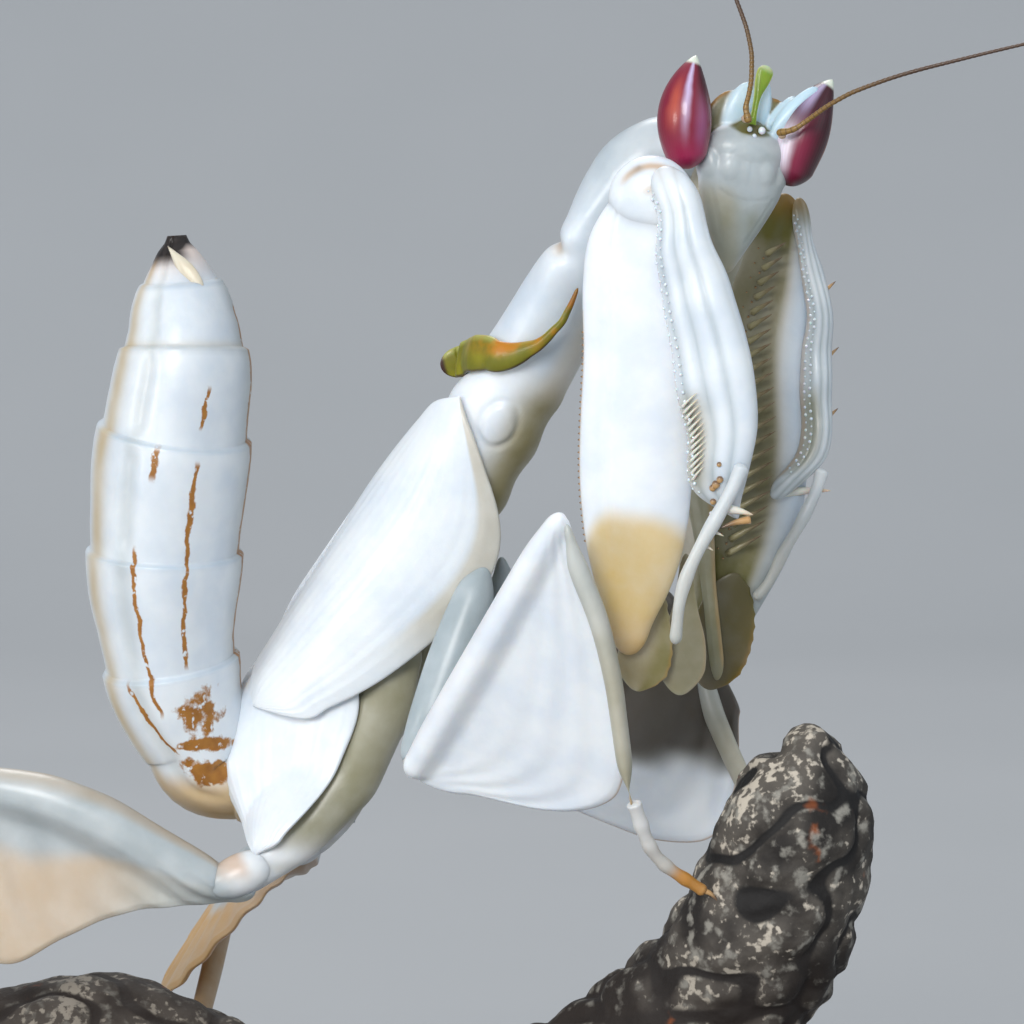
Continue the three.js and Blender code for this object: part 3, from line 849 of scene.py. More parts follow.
# A comb near the ankle, two rows of beads, and a few brown spines beyond the far leg's outer edge
def dressTibia(near, tibia):
    heading, across, upper = tibia["frame"]
    facing = tibia["facing"]
    outer = facing * (1 if near else -1)
    for k in range(foreLegs["comb"]):
        share = (k + 0.5) / foreLegs["comb"]
        root = tibia["at"](0.66 + 0.22 * share, 0.05 + 0.04 * share, 0.5 * outer)
        tip = tibia["at"](0.66 + 0.22 * share - 0.03, 0.31, 1.08 * outer)
        combs.append(spine(root, tip, 0.05, upper * 0.1 * outer))
    for row, place in enumerate((0.025, 0.115)):
        rise = 2 * facing * math.sqrt(place * (1 - place))
        for k in range(foreLegs["beads"]):
            share = 0.06 + 0.86 * (k + 0.5 * row) / foreLegs["beads"]
            size = foreLegs["beadSize"] * (0.7 + 0.6 * abs(math.sin(2.1 * k)))
            beads.append(bead(tibia["at"](share, place, rise), size))
    if near:
        return
    for place, long in foreLegs["outerSpines"]:
        root = tibia["at"](place, 0.97)
        spines.append(spine(root, root + across * long * 0.75 - heading * long * 0.6, 0.07))


def makeForeLeg(leg, near):
    hip, _, knee, ankle, _ = joints(leg)
    trochanter = min(tips(f"{leg}_femur"), key=lambda tip: tip[2])  # the femur's own lower end
    hint = (0.9, 0.2, 0)
    femur = makeForeFemur(leg, near, trochanter, knee, hint)
    tibia = makeForeTibia(leg, near, knee, ankle, hint)
    coxa = limb(f"{leg}_coxa", hip, trochanter, hint, 120, 72, (0.05, 0.06),
                petal=foreLegs["petal"], reach=0.1)
    # the grey and the olive of the coxa are painted shade
    addFlesh(coxa, warm=0.4, olive=0.3 + 0.4 * smooth(0.3, 0.8, coxa["u"]), veil=0.4,
             amber=0.3 * smooth(0.85, 1, coxa["share"]))
    if near:
        makeKnee(knee, femur)
    line = [ankle + right * x + up * z - back * y for x, z, y in foreLegs["bow"][leg]]
    foot(line, 0.23 if near else 0.21, (0.9, 0.4, 0), 3, amber=0.0)
    replaced.append(f"{leg}_tarsus")
    dressAnkle(leg, near, ankle, femur, tibia)
    dressFemur(near, femur)
    dressTibia(near, tibia)
    return trochanter, femur


# Thin lobes hang at the lower ends of the fore coxae: the leg, then a lobe's top and its foot as
# mm right of, behind and above the joint, its half widths from top to foot, and its tint
coxalLobes = {
    "thick": 0.07, "jag": 0.05, "rims": {"mauve": 0.4, "olive": 0.25, "dusk": 0.5},
    "lobes": (
        ("fore_right", (0.96, 0.3, 2.0), (0.25, 0.35, -1.38), (0.1, 0.35, 0.6, 0.8, 0.8, 0.5), "mauve"),
        ("fore_right", (1.74, 0.7, 2.74), (1.55, 0.8, -1.56), (0.15, 0.25, 0.4, 0.65, 0.72, 0.5), "olive"),
        ("fore_left", (0.2, -1.9, 3.3), (-0.65, -1.8, -0.35), (0.35, 0.8, 0.98, 0.92, 0.55), "dusk"),
    ),
}


def makeForeLegs():
    legs = {leg: makeForeLeg(leg, leg == "fore_right") for leg in ("fore_right", "fore_left")}
    for leg, top, low, widths, tint in coxalLobes["lobes"]:
        spot, femur = legs[leg]
        ends = [spot + right * x + back * y + up * z for x, y, z in (top, low)]
        if tint == "dusk":
            ends = [femur["front"](end, 0.12) for end in ends]
        line = [ends[0], (ends[0] + ends[1]) / 2 + right * 0.05, ends[1]]
        lobe = sweep(line, right, oval(varied(*widths), steady(coxalLobes["thick"]), (0.12, 0.2)), 60, 60)
        edge = np.cos(lobe["a"])
        jag = coxalLobes["jag"] * np.abs(np.sin(31 * lobe["u"])) * smooth(0.75, 1, edge) * (tint != "olive")
        lobe["points"] = lobe["points"] - np.outer(jag, right)
        rim = smooth(0.8, 1, edge) * smooth(0.25, 0.6, lobe["u"])
        # the grey on every lobe is painted shade, and so is the far lobe's dark olive and umber
        if tint == "mauve":
            paint(lobe, warm=0.7, veil=0.2, olive=0.5 + 0.4 * smooth(-0.2, 0.6, edge), umber=0.12)
        elif tint == "olive":
            paint(lobe, warm=0.3, veil=0.4, olive=0.7, umber=0.25)
        else:
            paint(lobe, veil=0.4, olive=0.9, umber=0.6)
        addFlesh(lobe, amber=coxalLobes["rims"][tint] * rim)


makeForeLegs()
print("fore legs measured")

# Walking legs: broad petals on the femora
walkingLegs = {
    "petal": 0.13, "wrinkle": {"mid": 0.0175, "hind": 0.05}, "knuckle": 0.34,
    # the way each femur's petal reaches
    "petalWay": {
        "mid_right": (0.8, 0.34, -0.5), "mid_left": (0.8, 0.3, -0.55),
        "hind_right": (0, 0.2, -1), "hind_left": (-0.53, -0.33, -0.78),
    },
    "duskHeights": (25.3, 26.4),  # the far petal is in shade above these
    # the soft joint at a hind femur's root: mm above and left of the joint, half length and radius
    "softJoint": (0.22, 0.28, 1.15, 0.66),
}


def makeSoftJoint(trochanter, femur, coxa):
    above, left, long, wide = walkingLegs["softJoint"]
    reach = unit(femur["at"](0.12, 0.5) - coxa["at"](0.85, 0.5)) * long
    joint = egg(trochanter + up * above - right * left, reach, back, wide, wide)
    u = joint["u"]
    over = smooth(-0.1, 0.6, joint["points"][:, 2] - trochanter[2])
    # grey and bluish painted shade towards its far end
    addFlesh(joint, warm=0.15, veil=0.32 * smooth(0.5, 0.9, u), cool=0.5 * smooth(0.5, 0.9, u),
             amber=0.5 * smooth(0.3, 0.5, u) * over)


def makeWalkingFemur(leg, trochanter, knee):
    place = leg.split("_")[0]

    def wrinkled(u, a, share):
        fan = np.cos(34 * share + 9 * u) if place == "mid" else np.cos(60 * u + 18 * share)
        run = smooth(0.2, 0.5, share) * smooth(0, 0.2, u) * smooth(1, 0.85, u)
        return walkingLegs["wrinkle"][place] * fan * run

    femur = limb(f"{leg}_femur", trochanter, knee, walkingLegs["petalWay"][leg], 170, 120, (0.05, 0.05),
                 petal=walkingLegs["petal"], relief=wrinkled, reach=0.25)
    u, share = femur["u"], femur["share"]
    rim = smooth(0.06, 0.0, share)
    if place == "hind":
        far = leg == "hind_left"
        lobe = smooth(0.35, 0.5, share)
        # painted shade: grey, stronger on the lobe, and bluish off the lobe and near the root
        addFlesh(
            femur, warm=0.1 + 0.3 * rim, amber=0.2 * rim + 0.5 * lobe * far,
            pink=0.33 * lobe * smooth(0.2, 0.5, u), tan=(0.6 if far else 0.3) * lobe * smooth(0.1, 0.5, u),
            veil=0.36 + 0.16 * lobe, cool=0.45 * (1 - lobe) + 0.2 * smooth(0.3, 0, u),
        )
    else:
        height = femur["points"][:, 2] + 0.5 * rough(femur["points"], 1.2)
        dusk = smooth(*walkingLegs["duskHeights"], height) * femur["toward"] * (leg == "mid_left")
        addFlesh(femur, umber=0.85 * dusk, olive=0.6 * dusk,
                 amber=0.6 * smooth(0.985, 1.0, share) + 0.1 * rim)
    return femur


def makeWalkingLegs():
    for leg, hint in walkingLegs["petalWay"].items():
        hip, trochanter, knee, ankle, toe = joints(leg)
        hind = leg.startswith("hind")
        femur = makeWalkingFemur(leg, trochanter, knee)
        tibia = limb(f"{leg}_tibia", knee, ankle, hint, 90, 36, (0.05, 0.05), reach=0.2)
        u = tibia["u"]
        # the grey tint is painted shade
        addFlesh(tibia, warm=0.5 * smooth(0.1, 0.6, u), veil=0.4, olive=0.25,
                 amber=np.maximum(0.7 * smooth(0.93, 1, u), 0.5 * (leg == "hind_left")))
        coxa = limb(f"{leg}_coxa", hip, trochanter, hint, 90, 56, (0.06, 0.08), reach=0.3)
        u, x = coxa["u"], np.cos(coxa["a"])
        if hind:
            shaft = smooth(0.86, 0.7, u + 0.05 * x)
            # grey painted shade along the shaft
            addFlesh(coxa, warm=0.15 + 0.35 * shaft, veil=0.45 * shaft,
                     olive=0.5 * shaft + 0.2 * bump(0.9, 0.03, u + 0.06 * x))
            makeSoftJoint(trochanter, femur, coxa)
        else:
            # the coxa is painted bluish and grey, as painted shade
            addFlesh(coxa, cool=0.65, veil=0.45)
            addFlesh(bead(trochanter, walkingLegs["knuckle"], 20, 20), warm=0.3)
        sag = right * -0.4 + up * -0.25 if leg == "mid_right" else 0 * up
        foot([ankle, (ankle + toe) / 2 + sag, toe], 0.24, (0.6, -0.7, 0))
        replaced.append(f"{leg}_tarsus")


makeWalkingLegs()
print("walking legs measured")

# Wing pads: thin bowed plates with raised veins
wingPads = {
    "thick": 0.13, "vein": 0.03, "veins": 7, "slices": 15, "smoothing": 6,
    "facing": (0.81, -0.29, -0.5),  # the way a right pad's front edge lies
    # for each kind: trims of its back and front edge in mm from root to tip, the far pad's back
    # trim, how far the tip flares out and reaches on, and how strong its cream rolled rim is
    "forewing_pad": {
        "back": (-0.15, -0.25, -0.3, -0.3, -0.4, -0.8, -1.5), "front": (0.6, 1.15, 1.05, 0.7, 0.25, 0, 0),
        "far": 0.5, "flare": 0.0, "longer": 0.0, "rolled": 1.0,
    },
    "hindwing_pad": {
        "back": (-2.0, -2.15, -1.95, -1.5, -0.5), "front": (0.3, 0.2, 0.1, 0, 0),
        "far": 1.1, "flare": 0.9, "longer": 0.4, "rolled": 0.0,
    },
}


# Rows of a pad's back edge, front edge and bow, from its root to its tip
def padRows(pad, hand, triangles, top, bottom, across, upper):
    heading = unit(bottom - top)
    rows = []
    for share in np.linspace(0.03, 0.97, wingPads["slices"]):
        spot = top + (bottom - top) * share
        found = cut(triangles, spot, heading, 9)
        s, d = (found - spot) @ across, (found - spot) @ upper
        rows.append([s.min(), s.max(), *np.polyfit(s, d, 2)])
    rows = np.array(rows)
    trims = [through(pad[edge], np.linspace(0, 1, len(rows))) for edge in ("back", "front")]
    rows[:, 0] += trims[0] if hand > 0 else pad["far"]
    rows[:, 1] += trims[1] if hand > 0 else -trims[0]
    for _ in range(wingPads["smoothing"]):
        rows[1:-1] = (rows[:-2] + 2 * rows[1:-1] + rows[2:]) / 4
    ends = [[(r[0] + r[1]) / 2, (r[0] + r[1]) / 2, *r[2:]] for r in (rows[0], rows[-1])]
    return np.concatenate([[ends[0]], rows, [ends[1]]])


def makeWingPad(kind, label, hand):
    name, pad = f"{kind}_{label}", wingPads[kind]
    top, bottom = sorted(tips(name), key=lambda tip: -tip[2])
    heading = unit(bottom - top)
    top, bottom = top - heading * 0.1, bottom + heading * 0.1
    across, upper = framing(heading, np.array(wingPads["facing"]) * (hand, 1, hand))
    outer = -np.sign(upper @ back) * hand * pad["flare"]
    rows = padRows(pad, hand, corners(name), top, bottom, across, upper)

    def shape(u, a):
        low, high, p, q, c = (through(rows[:, k], u) for k in range(5))
        share = np.cos(a)
        s = (low + high) / 2 + (high - low) / 2 * share
        veins = np.cos(share * math.pi * wingPads["veins"]) ** 6 * smooth(0.05, 0.3, u)
        thick = wingPads["thick"] * dome(u, 0.06, 0.06) * np.abs(np.sin(a)) ** 0.5 * np.sign(np.sin(a))
        flared = smooth(0.5, -0.7, share * hand) * smooth(0.0, 0.3, u)
        lift = p * s**2 + q * s + c + outer * np.maximum(flared, 1.1 * smooth(0.55, 0.95, u))
        return s, lift + thick + wingPads["vein"] * veins * (1 - np.abs(share) ** 8)

    sheet = sweep([top, bottom + heading * pad["longer"]], across, shape, 110, 120)
    u = sheet["u"]
    rolled = smooth(0.74, 0.82, np.cos(sheet["a"]) * hand) * smooth(0.75, 0.5, u) * pad["rolled"]
    # a faint bluish painted shade
    paint(sheet, cool=0.04, warm=0.06 * smooth(0.3, 1, u) + 0.4 * rolled, olive=0.16 * rolled)
    build(name + "_plate", [sheet], skin, [name])


for label, hand in (("right", 1), ("left", -1)):
    for kind in ("forewing_pad", "hindwing_pad"):
        makeWingPad(kind, label, hand)

# Head: lumps of clay in the head's own axes, x out of the face, y to its left and z up
head = {
    "voxel": 0.05, "smoothing": 9, "seam": 0.025, "rise": 3.4, "behind": 0.25,  # its middle, from the chin
    # the muzzle's middle line, with its half widths and half depths
    "muzzleLine": ((0.2, 0, -0.3), (0.24, 0, -1.9), (0.18, 0, -3.35)),
    "muzzleWide": (1.35, 1.28, 1.1, 0.88, 0.64, 0.4, 0.18),
    "muzzleDeep": (0.78, 0.72, 0.62, 0.52, 0.4, 0.28, 0.14),
    # every lump: its middle, its radii, degrees it leans to the head's left, whether the other
    # side has it too, and the tint it gives the skin around it
    "lumps": [
        ((-0.35, 0, 0.45), (0.95, 1.35, 0.98), 0, False, None),
        ((-0.55, 0, 0.1), (0.85, 1.15, 1.1), 0, False, "warm"),
        ((0.2, 0, 0.32), (0.8, 1.28, 0.78), 0, False, None),
        ((0.22, 0, -0.3), (0.78, 1.2, 1.05), 0, False, None),
        ((0.57, 0.46, -0.22), (0.42, 0.5, 0.62), -10, True, None),
        ((0.42, 0.0, -1.25), (0.45, 0.72, 0.52), 0, False, None),
        ((0.15, 0.95, -0.3), (0.6, 0.45, 0.8), -20, True, None),
        ((-0.05, 0.85, 1.3), (0.16, 0.5, 0.85), 25, True, "olive"),
        ((0.25, 0.0, 0.95), (0.45, 0.5, 0.32), 0, False, "olive"),
        ((0.05, -0.43, 1.6), (0.22, 0.4, 0.84), -16, False, "aqua"),
        ((0.05, 0.3, 1.68), (0.22, 0.23, 0.84), -3, False, "aqua"),
        ((0.45, 1.2, 1.75), (0.22, 0.33, 1.05), -34, False, "aqua"),
        ((0.15, 0.88, 1.68), (0.2, 0.2, 0.66), -31, False, "aqua"),
    ],
    # the beige throat behind the face, between the roots of the fore legs
    "throatLine": ((-0.6, -0.1, 0.3), (-0.75, -0.2, -1.5), (-0.9, -0.3, -3.2), (-1.1, -0.3, -5.2)),
    "throatWide": (0.9, 1.15, 1.1, 0.95, 0.7), "throatDeep": (0.6, 0.75, 0.7, 0.6, 0.45), "throatFold": 0.04,
}
eyeSpots = [corners(f"eye_{label}").reshape(-1, 3).mean(axis=0) for label in ("right", "left")]
chinSpot = endOf("head", (0, 0, -1), 0.15)
headLeft = unit(eyeSpots[1] - eyeSpots[0])
headUp = (eyeSpots[0] + eyeSpots[1]) / 2 - chinSpot
headUp = unit(headUp - headLeft * (headUp @ headLeft))
headAxes = np.stack([np.cross(headLeft, headUp), headLeft, headUp])
headOrigin = chinSpot + headUp * head["rise"] - headAxes[0] * head["behind"]


def fromHead(points):
    return headOrigin + np.asarray(points, float) @ headAxes


def toHead(points):
    return (np.asarray(points, float) - headOrigin) @ headAxes.T


def makeLump(middle, radii, lean, tint):
    ball = egg(np.zeros(3), up, (1, 0, 0), 1, 1, 24, 32)
    turn = math.radians(lean)
    turned = np.array([[1, 0, 0], [0, math.cos(turn), -math.sin(turn)], [0, math.sin(turn), math.cos(turn)]])
    ball["points"] = (ball["points"] * radii) @ turned.T + middle
    ball["lump"] = (middle, turned, np.array(radii), tint)
    return ball


# Melts the lumps into one surface: its points, their normals, and the faces
def melt(clay):
    lump = placed("clay", meshOf("clay", *joined(clay)))
    remesh = lump.modifiers.new("remesh", "REMESH")
    remesh.mode, remesh.voxel_size = "VOXEL", head["voxel"]
    soften = lump.modifiers.new("soften", "SMOOTH")
    soften.factor, soften.iterations = 0.5, head["smoothing"]
    bpy.context.view_layer.update()
    made = lump.evaluated_get(bpy.context.evaluated_depsgraph_get()).to_mesh()
    spots = np.array([v.co for v in made.vertices])
    normals = np.array([v.normal for v in made.vertices])
    faces = [list(p.vertices) for p in made.polygons]
    bpy.data.objects.remove(lump)
    return spots, normals, faces


# The seams of the face: over the shield, between shield and lip, and down either side
def seamsOf(x, y, z):
    arc = z - (-0.82 - 0.28 * (1 - np.clip(np.abs(y) / 0.95, 0, 1) ** 2))
    brow = z - (0.5 - 0.55 * (y / 0.8) ** 2)
    seams = 0.6 * bump(0, 0.06, arc) * (np.abs(y) < 0.8) + 0.25 * bump(0, 0.08, brow) * (np.abs(y) < 0.9)
    seams = seams + 0.7 * bump(0, 0.07, y) * bump(-0.25, 0.5, z)
    seams = seams + 0.7 * bump(0, 0.06, np.abs(y) - (0.95 + 0.42 * (z + 0.95))) * (z < -0.9) * (z > -2.4)
    return np.clip(seams, 0, 1) * smooth(0.1, 0.5, x)


def makeHead():
    clay = []
    for middle, radii, lean, mirrored, tint in head["lumps"]:
        for hand in (1, -1) if mirrored else (1,):
            clay.append(makeLump(np.array(middle) * (1, hand, 1), radii, lean * hand, tint))
    for label in ("right", "left"):
        root = min((toHead(tip) for tip in tips(f"antenna_{label}")), key=lambda tip: tip[2])
        clay.append(makeLump(root - (0.12, 0, 0.1), (0.15, 0.14, 0.15), 0, "amber"))
    muzzle = oval(varied(*head["muzzleWide"]), varied(*head["muzzleDeep"]), (0.0, 0.06))
    spots, normals, faces = melt([*clay, sweep(head["muzzleLine"], (0, -1, 0), muzzle, 60, 48)])
    x, y, z = spots.T
    front, seams = smooth(0.1, 0.5, x), seamsOf(x, y, z)
    tints, rim = {}, np.zeros(len(spots))
    for ball in clay:
        place, turned, radii, tint = ball["lump"]
        if not tint:
            continue
        apart = ((spots - place) @ turned) / radii
        far, reach = np.linalg.norm(apart, axis=1), 1.12 if tint == "olive" else 0.95
        tints[tint] = np.maximum(tints.get(tint, 0), smooth(reach + 0.35, reach, far))
        if tint == "olive" and radii[0] < 0.2:
            edged = smooth(1.2, 1.0, far) * smooth(0.75, 0.3, np.abs(apart[:, 0]))
            rim = np.maximum(rim, edged * smooth(1.2, 1.6, z))
    bare = 1 - tints["aqua"]
    olive = tints["olive"] * (1 - 0.9 * tints["aqua"])
    # painted shade: the front of the face grey and bluish, greyer low down and towards the head's left,
    # bluish in the seams, and olive in the strip beside the near eye
    addFlesh(
        sheetOf(fromHead(spots - normals * (head["seam"] * seams)[:, None]), faces),
        aqua=0.5 * tints["aqua"], cool=0.35 * front * (1 - olive) * bare + 0.15 * seams,
        veil=front * (0.48 + 0.26 * smooth(-0.7, -1.6, z) + 0.15 * smooth(0.2, 1.2, y)) * bare,
        umber=0.3 * olive,
        olive=0.95 * olive + 0.3 * bump(-1.7, 0.35, z) * bump(0.4, 0.2, np.abs(y)) * front
        + 0.45 * bump(-0.35, 0.14, y) * bump(0.95, 0.2, z) + 0.15 * smooth(-2.0, -3.2, z),
        warm=0.5 * tints["warm"] * smooth(0.1, -0.5, x)
        + 0.65 * smooth(0.1, -0.5, y + 0.3 * (z + 1.2)) * smooth(-0.5, -1.3, z),
        amber=(0.5 * tints["amber"] + 0.7 * rim) * bare,
    )
    replaced.append("head")
    shape = oval(varied(*head["throatWide"]), varied(*head["throatDeep"]), (0.05, 0.1))
    throat = sweep(fromHead(head["throatLine"]), headLeft, shape, 70, 60)
    folds = np.sin(34 * throat["u"]) * head["throatFold"]
    throat["points"] = throat["points"] + np.outer(folds, headAxes[0])
    # the grey tint is painted shade
    addFlesh(throat, warm=0.55, veil=0.45, olive=0.15 + 0.3 * throat["u"])


makeHead()

# Eyes: tall cones with a pale tip, banded lengthwise
eye = {
    "tip": "#dfe6d6", "line": "#930f3f", "lines": 46,
    "gloss": {"right": 0.4, "left": 0.2}, "lean": {"right": 0.22, "left": 0.32},
    # how far each one bows to the head's right, and its width from foot to tip
    "bow": {"right": 0.19, "left": 0.2}, "profile": (0.58, 0.76, 0.9, 0.98, 0.97, 0.87, 0.68, 0.41, 0.06),
    # ground colour, then bands: colour, place round the eye from its inner edge at -1 to its outer
    # edge at 1, spread, place along it from foot to tip, spread, strength. The pale lilac and white
    # bands are painted highlights, the mauve band a painted sheen, the orange bands painted light
    # shining through the eye, and the darkest band of the right eye and the left eye's darker ground
    # painted shade
    "right": ("#7d0c2c", (
        ("#2c0511", -0.6, 0.8, 0.85, 0.5, 0.9), ("#a0608c", -0.4, 0.5, 0.35, 0.4, 0.7),
        ("#c85a38", 0.7, 0.27, 0.55, 0.3, 0.62), ("#cfc0e4", 0.3, 0.26, 0.85, 0.75, 0.95),
        ("#a01a50", 0.0, 3.0, 0.0, 0.35, 0.85),
    )),
    "left": ("#340613", (
        ("#7c1038", -0.3, 0.9, 0.25, 0.45, 0.95), ("#bdb0d4", -0.65, 0.36, 0.8, 0.33, 0.8),
        ("#f0e6f4", -0.85, 0.5, 0.3, 0.32, 1.0), ("#b9632a", 1.0, 0.25, 0.4, 0.8, 0.7),
    )),
}


def makeEyeMaterial(label):
    ground, bands = eye[label]
    r = Recipe(f"eye_{label}", ground)
    along = r.field("along")
    place = r.math("ADD", r.field("outer"), r.sway(r.noise(0.9, 2), 0.25))
    # bands round and along the eye, among them painted highlights, painted sheen, painted light through the
    # eye and painted shade
    for tint, turn, wide, height, tall, strength in bands:
        beside = r.ramp(r.away(place, turn), wide, 0.0)
        r.tint(r.times(beside, r.ramp(r.away(along, height), tall, tall * 0.1), strength), tint)
    lines = r.math("SINE", r.times(r.field("turn"), eye["lines"]))
    r.tint(r.math("MULTIPLY_ADD", lines, 0.04, 0.05), eye["line"])
    r.tint(r.ramp(along, 0.9, 0.94), eye["tip"])
    r.relief(lines, 0.08, 0.00001)
    return r.finish(Roughness=0.42, CoatWeight=eye["gloss"][label], CoatRoughness=0.15,
                    SubsurfaceWeight=0.08, SubsurfaceScale=0.0003)


def makeEye(label, hand):
    name = f"eye_{label}"
    low, peak = sorted(tips(name), key=lambda tip: toHead(tip)[2])
    _, sizes, _, _ = follow([name], low, peak, headAxes[0], np.linspace(0.06, 0.94, 9))
    wide, high = sizes.max(axis=0)
    t = np.linspace(0, 1, 13)[:, None]
    beside = eye["lean"][label] * t**2 - 4 * eye["bow"][label] * t * (1 - t)
    line = low + (peak - low) * t + headLeft * beside

    def shape(u, a):
        fall = dome(u, 0.12, 0.03) * through(eye["profile"], u)
        return wide * fall * np.cos(a), high * fall * np.sin(a)

    sheet = sweep(line, headAxes[0], shape, 110, 110)
    _, upper = framing(unit(peak - low), headAxes[0])
    outward = np.sign(upper @ headLeft) * hand
    sheet["fields"].update(outer=np.sin(sheet["a"]) * outward, turn=sheet["a"])
    build(name + "_cone", [sheet], makeEyeMaterial(label), [name])


makeEye("right", -1)
makeEye("left", 1)

# The leaf-shaped horn between the eyes, and three pale simple eyes under it
horn = {
    "green": "#6d9008", "pale": "#b4cc6e", "fleck": "#c9d65a", "tip": "#dfe8d0", "foot": (0.72, -0.12, 1.15),
    "wide": (0.13, 0.09, 0.09, 0.12, 0.2, 0.25, 0.24), "deep": (0.1, 0.12, 0.13, 0.13, 0.12, 0.11, 0.1),
    # the simple eyes: how far left and up in the head, and their size
    "ocelli": ((-0.18, 1.0, 0.09), (0.2, 1.02, 0.12), (0.0, 0.82, 0.08)),
}


def makeHorn():
    r = Recipe("leafHorn", horn["green"])
    r.tint(r.ramp(r.away(r.field("ringY"), 0.0), 0.75, 1.0), horn["pale"])
    r.tint(r.times(r.noise(0.4, 4), 0.25), horn["fleck"])
    r.tint(r.ramp(r.field("along"), 0.85, 1.0, 0.0, 0.6), horn["tip"])
    material = r.finish(Roughness=0.35, CoatWeight=0.3, SubsurfaceWeight=0.3, SubsurfaceScale=0.0004)
    high = max(tips("head_horn"), key=lambda tip: toHead(tip)[2]) + headLeft * 0.08
    low = fromHead(horn["foot"])
    middle = (low + high) / 2 - headLeft * 0.06
    shape = oval(varied(*horn["wide"]), varied(*horn["deep"]), (0.0, 0.12))
    sheet = sweep([low, middle, high], headLeft, shape, 70, 48)
    sheet["fields"]["ringY"] = np.cos(sheet["a"])
    build("head_horn_blade", [sheet], material, ["head_horn"])
    for y, z, size in horn["ocelli"]:
        beads.append(bead(fromHead((0.78, y, z)), size))


# Antennae: ringed rods with a knob at the root
antenna = {
    "thick": 0.078, "rings": 60, "root": "#8a6a30", "tip": "#4a3322", "back": "#7a4a2a", "groove": "#33180d",
}


def makeAntennaMaterial():
    r = Recipe("antenna", antenna["root"])
    along = r.field("along")
    r.tint(r.ramp(along, 0.0, 0.5), antenna["tip"])
    r.tint(r.ramp(r.field("ringY"), -0.2, 0.9), antenna["back"])
    rings = r.math("SINE", r.times(along, antenna["rings"] * tau))
    r.tint(r.ramp(rings, 0.5, 1.0, 0.0, 0.5), antenna["groove"])
    return r.finish(Roughness=0.45, CoatWeight=0.2)


def makeAntenna(label, material):
    name = f"antenna_{label}"
    base, end = sorted(tips(name), key=lambda tip: np.linalg.norm(tip - fromHead((1, 0, 1))))
    side = unit(np.cross(end - base, headAxes[0]))
    heading = headUp if label == "right" else unit(headUp + headLeft)
    line, _ = trace(name, base, heading, side, 0.4, 1.0)
    line = np.concatenate([[base - unit(line[0] - base) * 0.25], line, [end]])

    def size(u):
        knob = 1 + 0.5 * bump(0.02, 0.02, u) + 0.2 * bump(0.06, 0.012, u)
        ringed = 1 + 0.07 * np.cos(u * antenna["rings"] * tau) * smooth(0.1, 0.13, u)
        return antenna["thick"] * knob * ringed * (1 - 0.45 * u)

    sheet = sweep(line, side, oval(size, size, (0.01, 0.004)), around=18, shares=np.linspace(0, 1, 420))
    build(name + "_rod", [sheet], material, [name])


makeHorn()
antennaSkin = makeAntennaMaterial()
makeAntenna("right", antennaSkin)
makeAntenna("left", antennaSkin)

# The green collar at the back of the pronotum, brown at its ends
collar = {
    "green": "#6e6c06", "moss": "#8a8408", "pale": "#b9bc6c", "glow": "#b87408", "end": "#35190a",
    "slump": (-0.35, 0, -0.45),  # how far its middle hangs backwards and down
    "wide": (0.05, 0.1, 0.13, 0.2, 0.36, 0.5, 0.56, 0.56, 0.54, 0.5, 0.4),
    "deep": (0.05, 0.1, 0.12, 0.16, 0.2, 0.22, 0.2, 0.16, 0.14, 0.12, 0.1),
}


def makeCollarMaterial():
    r = Recipe("collar", collar["green"])
    cloud = r.noise(0.8, 4)
    r.tint(r.ramp(cloud, 0.35, 0.7), collar["moss"])
    r.tint(r.times(r.ramp(r.field("ringY"), 0.5, 1.0), 0.6), collar["pale"])
    r.tint(r.times(r.field("glow"), r.ramp(cloud, 0.3, 0.6)), collar["glow"])
    r.tint(r.field("end"), collar["end"])
    return r.finish(Roughness=0.45, CoatWeight=0.12, SubsurfaceWeight=0.1, SubsurfaceScale=0.0005)


def makeCollar():
    name = "pronotum_collar"
    start = endOf(name, (0.5, -1, 1), 0.3)
    line, _ = trace(name, start, (-0.45, -0.07, -0.9), (-0.53, 0, -0.85), 0.35, 1.4)
    line = line[: np.argmin(line[:, 0]) + 1]
    line[-1, 1] = 0.0
    line = line + np.linspace(0, 1, len(line))[:, None] ** 3 * np.array(collar["slump"])
    line = np.concatenate([[start + (0.1, 0.1, 0.25)], line, [line[-1] + (-0.5, 0.25, -0.15)]])
    parts = []
    for hand in (1, -1):
        shape = oval(varied(*collar["wide"]), varied(*collar["deep"]), (0.02, 0.06))
        leaf = sweep(line * (1, hand, 1), (-0.25, 0, -0.97), shape, 160, 56)
        u, edge = leaf["u"], np.cos(leaf["a"])
        end = smooth(0.972, 0.99, u) + 0.5 * smooth(0.16, 0.03, u) + 0.8 * smooth(0.86, 0.97, edge)
        glow = bump(0.45, 0.17, u) * smooth(0.3, -0.5, edge) + smooth(0.36, 0.2, u)
        leaf["fields"].update(ringY=-edge, end=np.clip(end, 0, 1), glow=glow)
        parts.append(leaf)
    build("pronotum_collar_band", parts, makeCollarMaterial(), [name])


makeCollar()

build("mantis_skin", sheets, skin, replaced)

# Spines, claws, warts, beads and combs
hardParts = {
    "horn": ("#b98a4e", "#4a230c"), "thorn": ("#a39c74", "#5b431f"), "sheen": "#f0dcb8",
    "bead": ("#eef0f4", "#c9d2dc"), "comb": ("#e6e0d4", "#cdb690", "#f7f3ec"),
}


def makeSpineMaterial(name, root, tip):
    r = Recipe(name, root)
    r.tint(r.ramp(r.field("along"), 0.2, 0.9), tip)
    r.tint(r.times(r.noise(0.2, 3), 0.25), hardParts["sheen"])
    return r.finish(Roughness=0.35, CoatWeight=0.4)


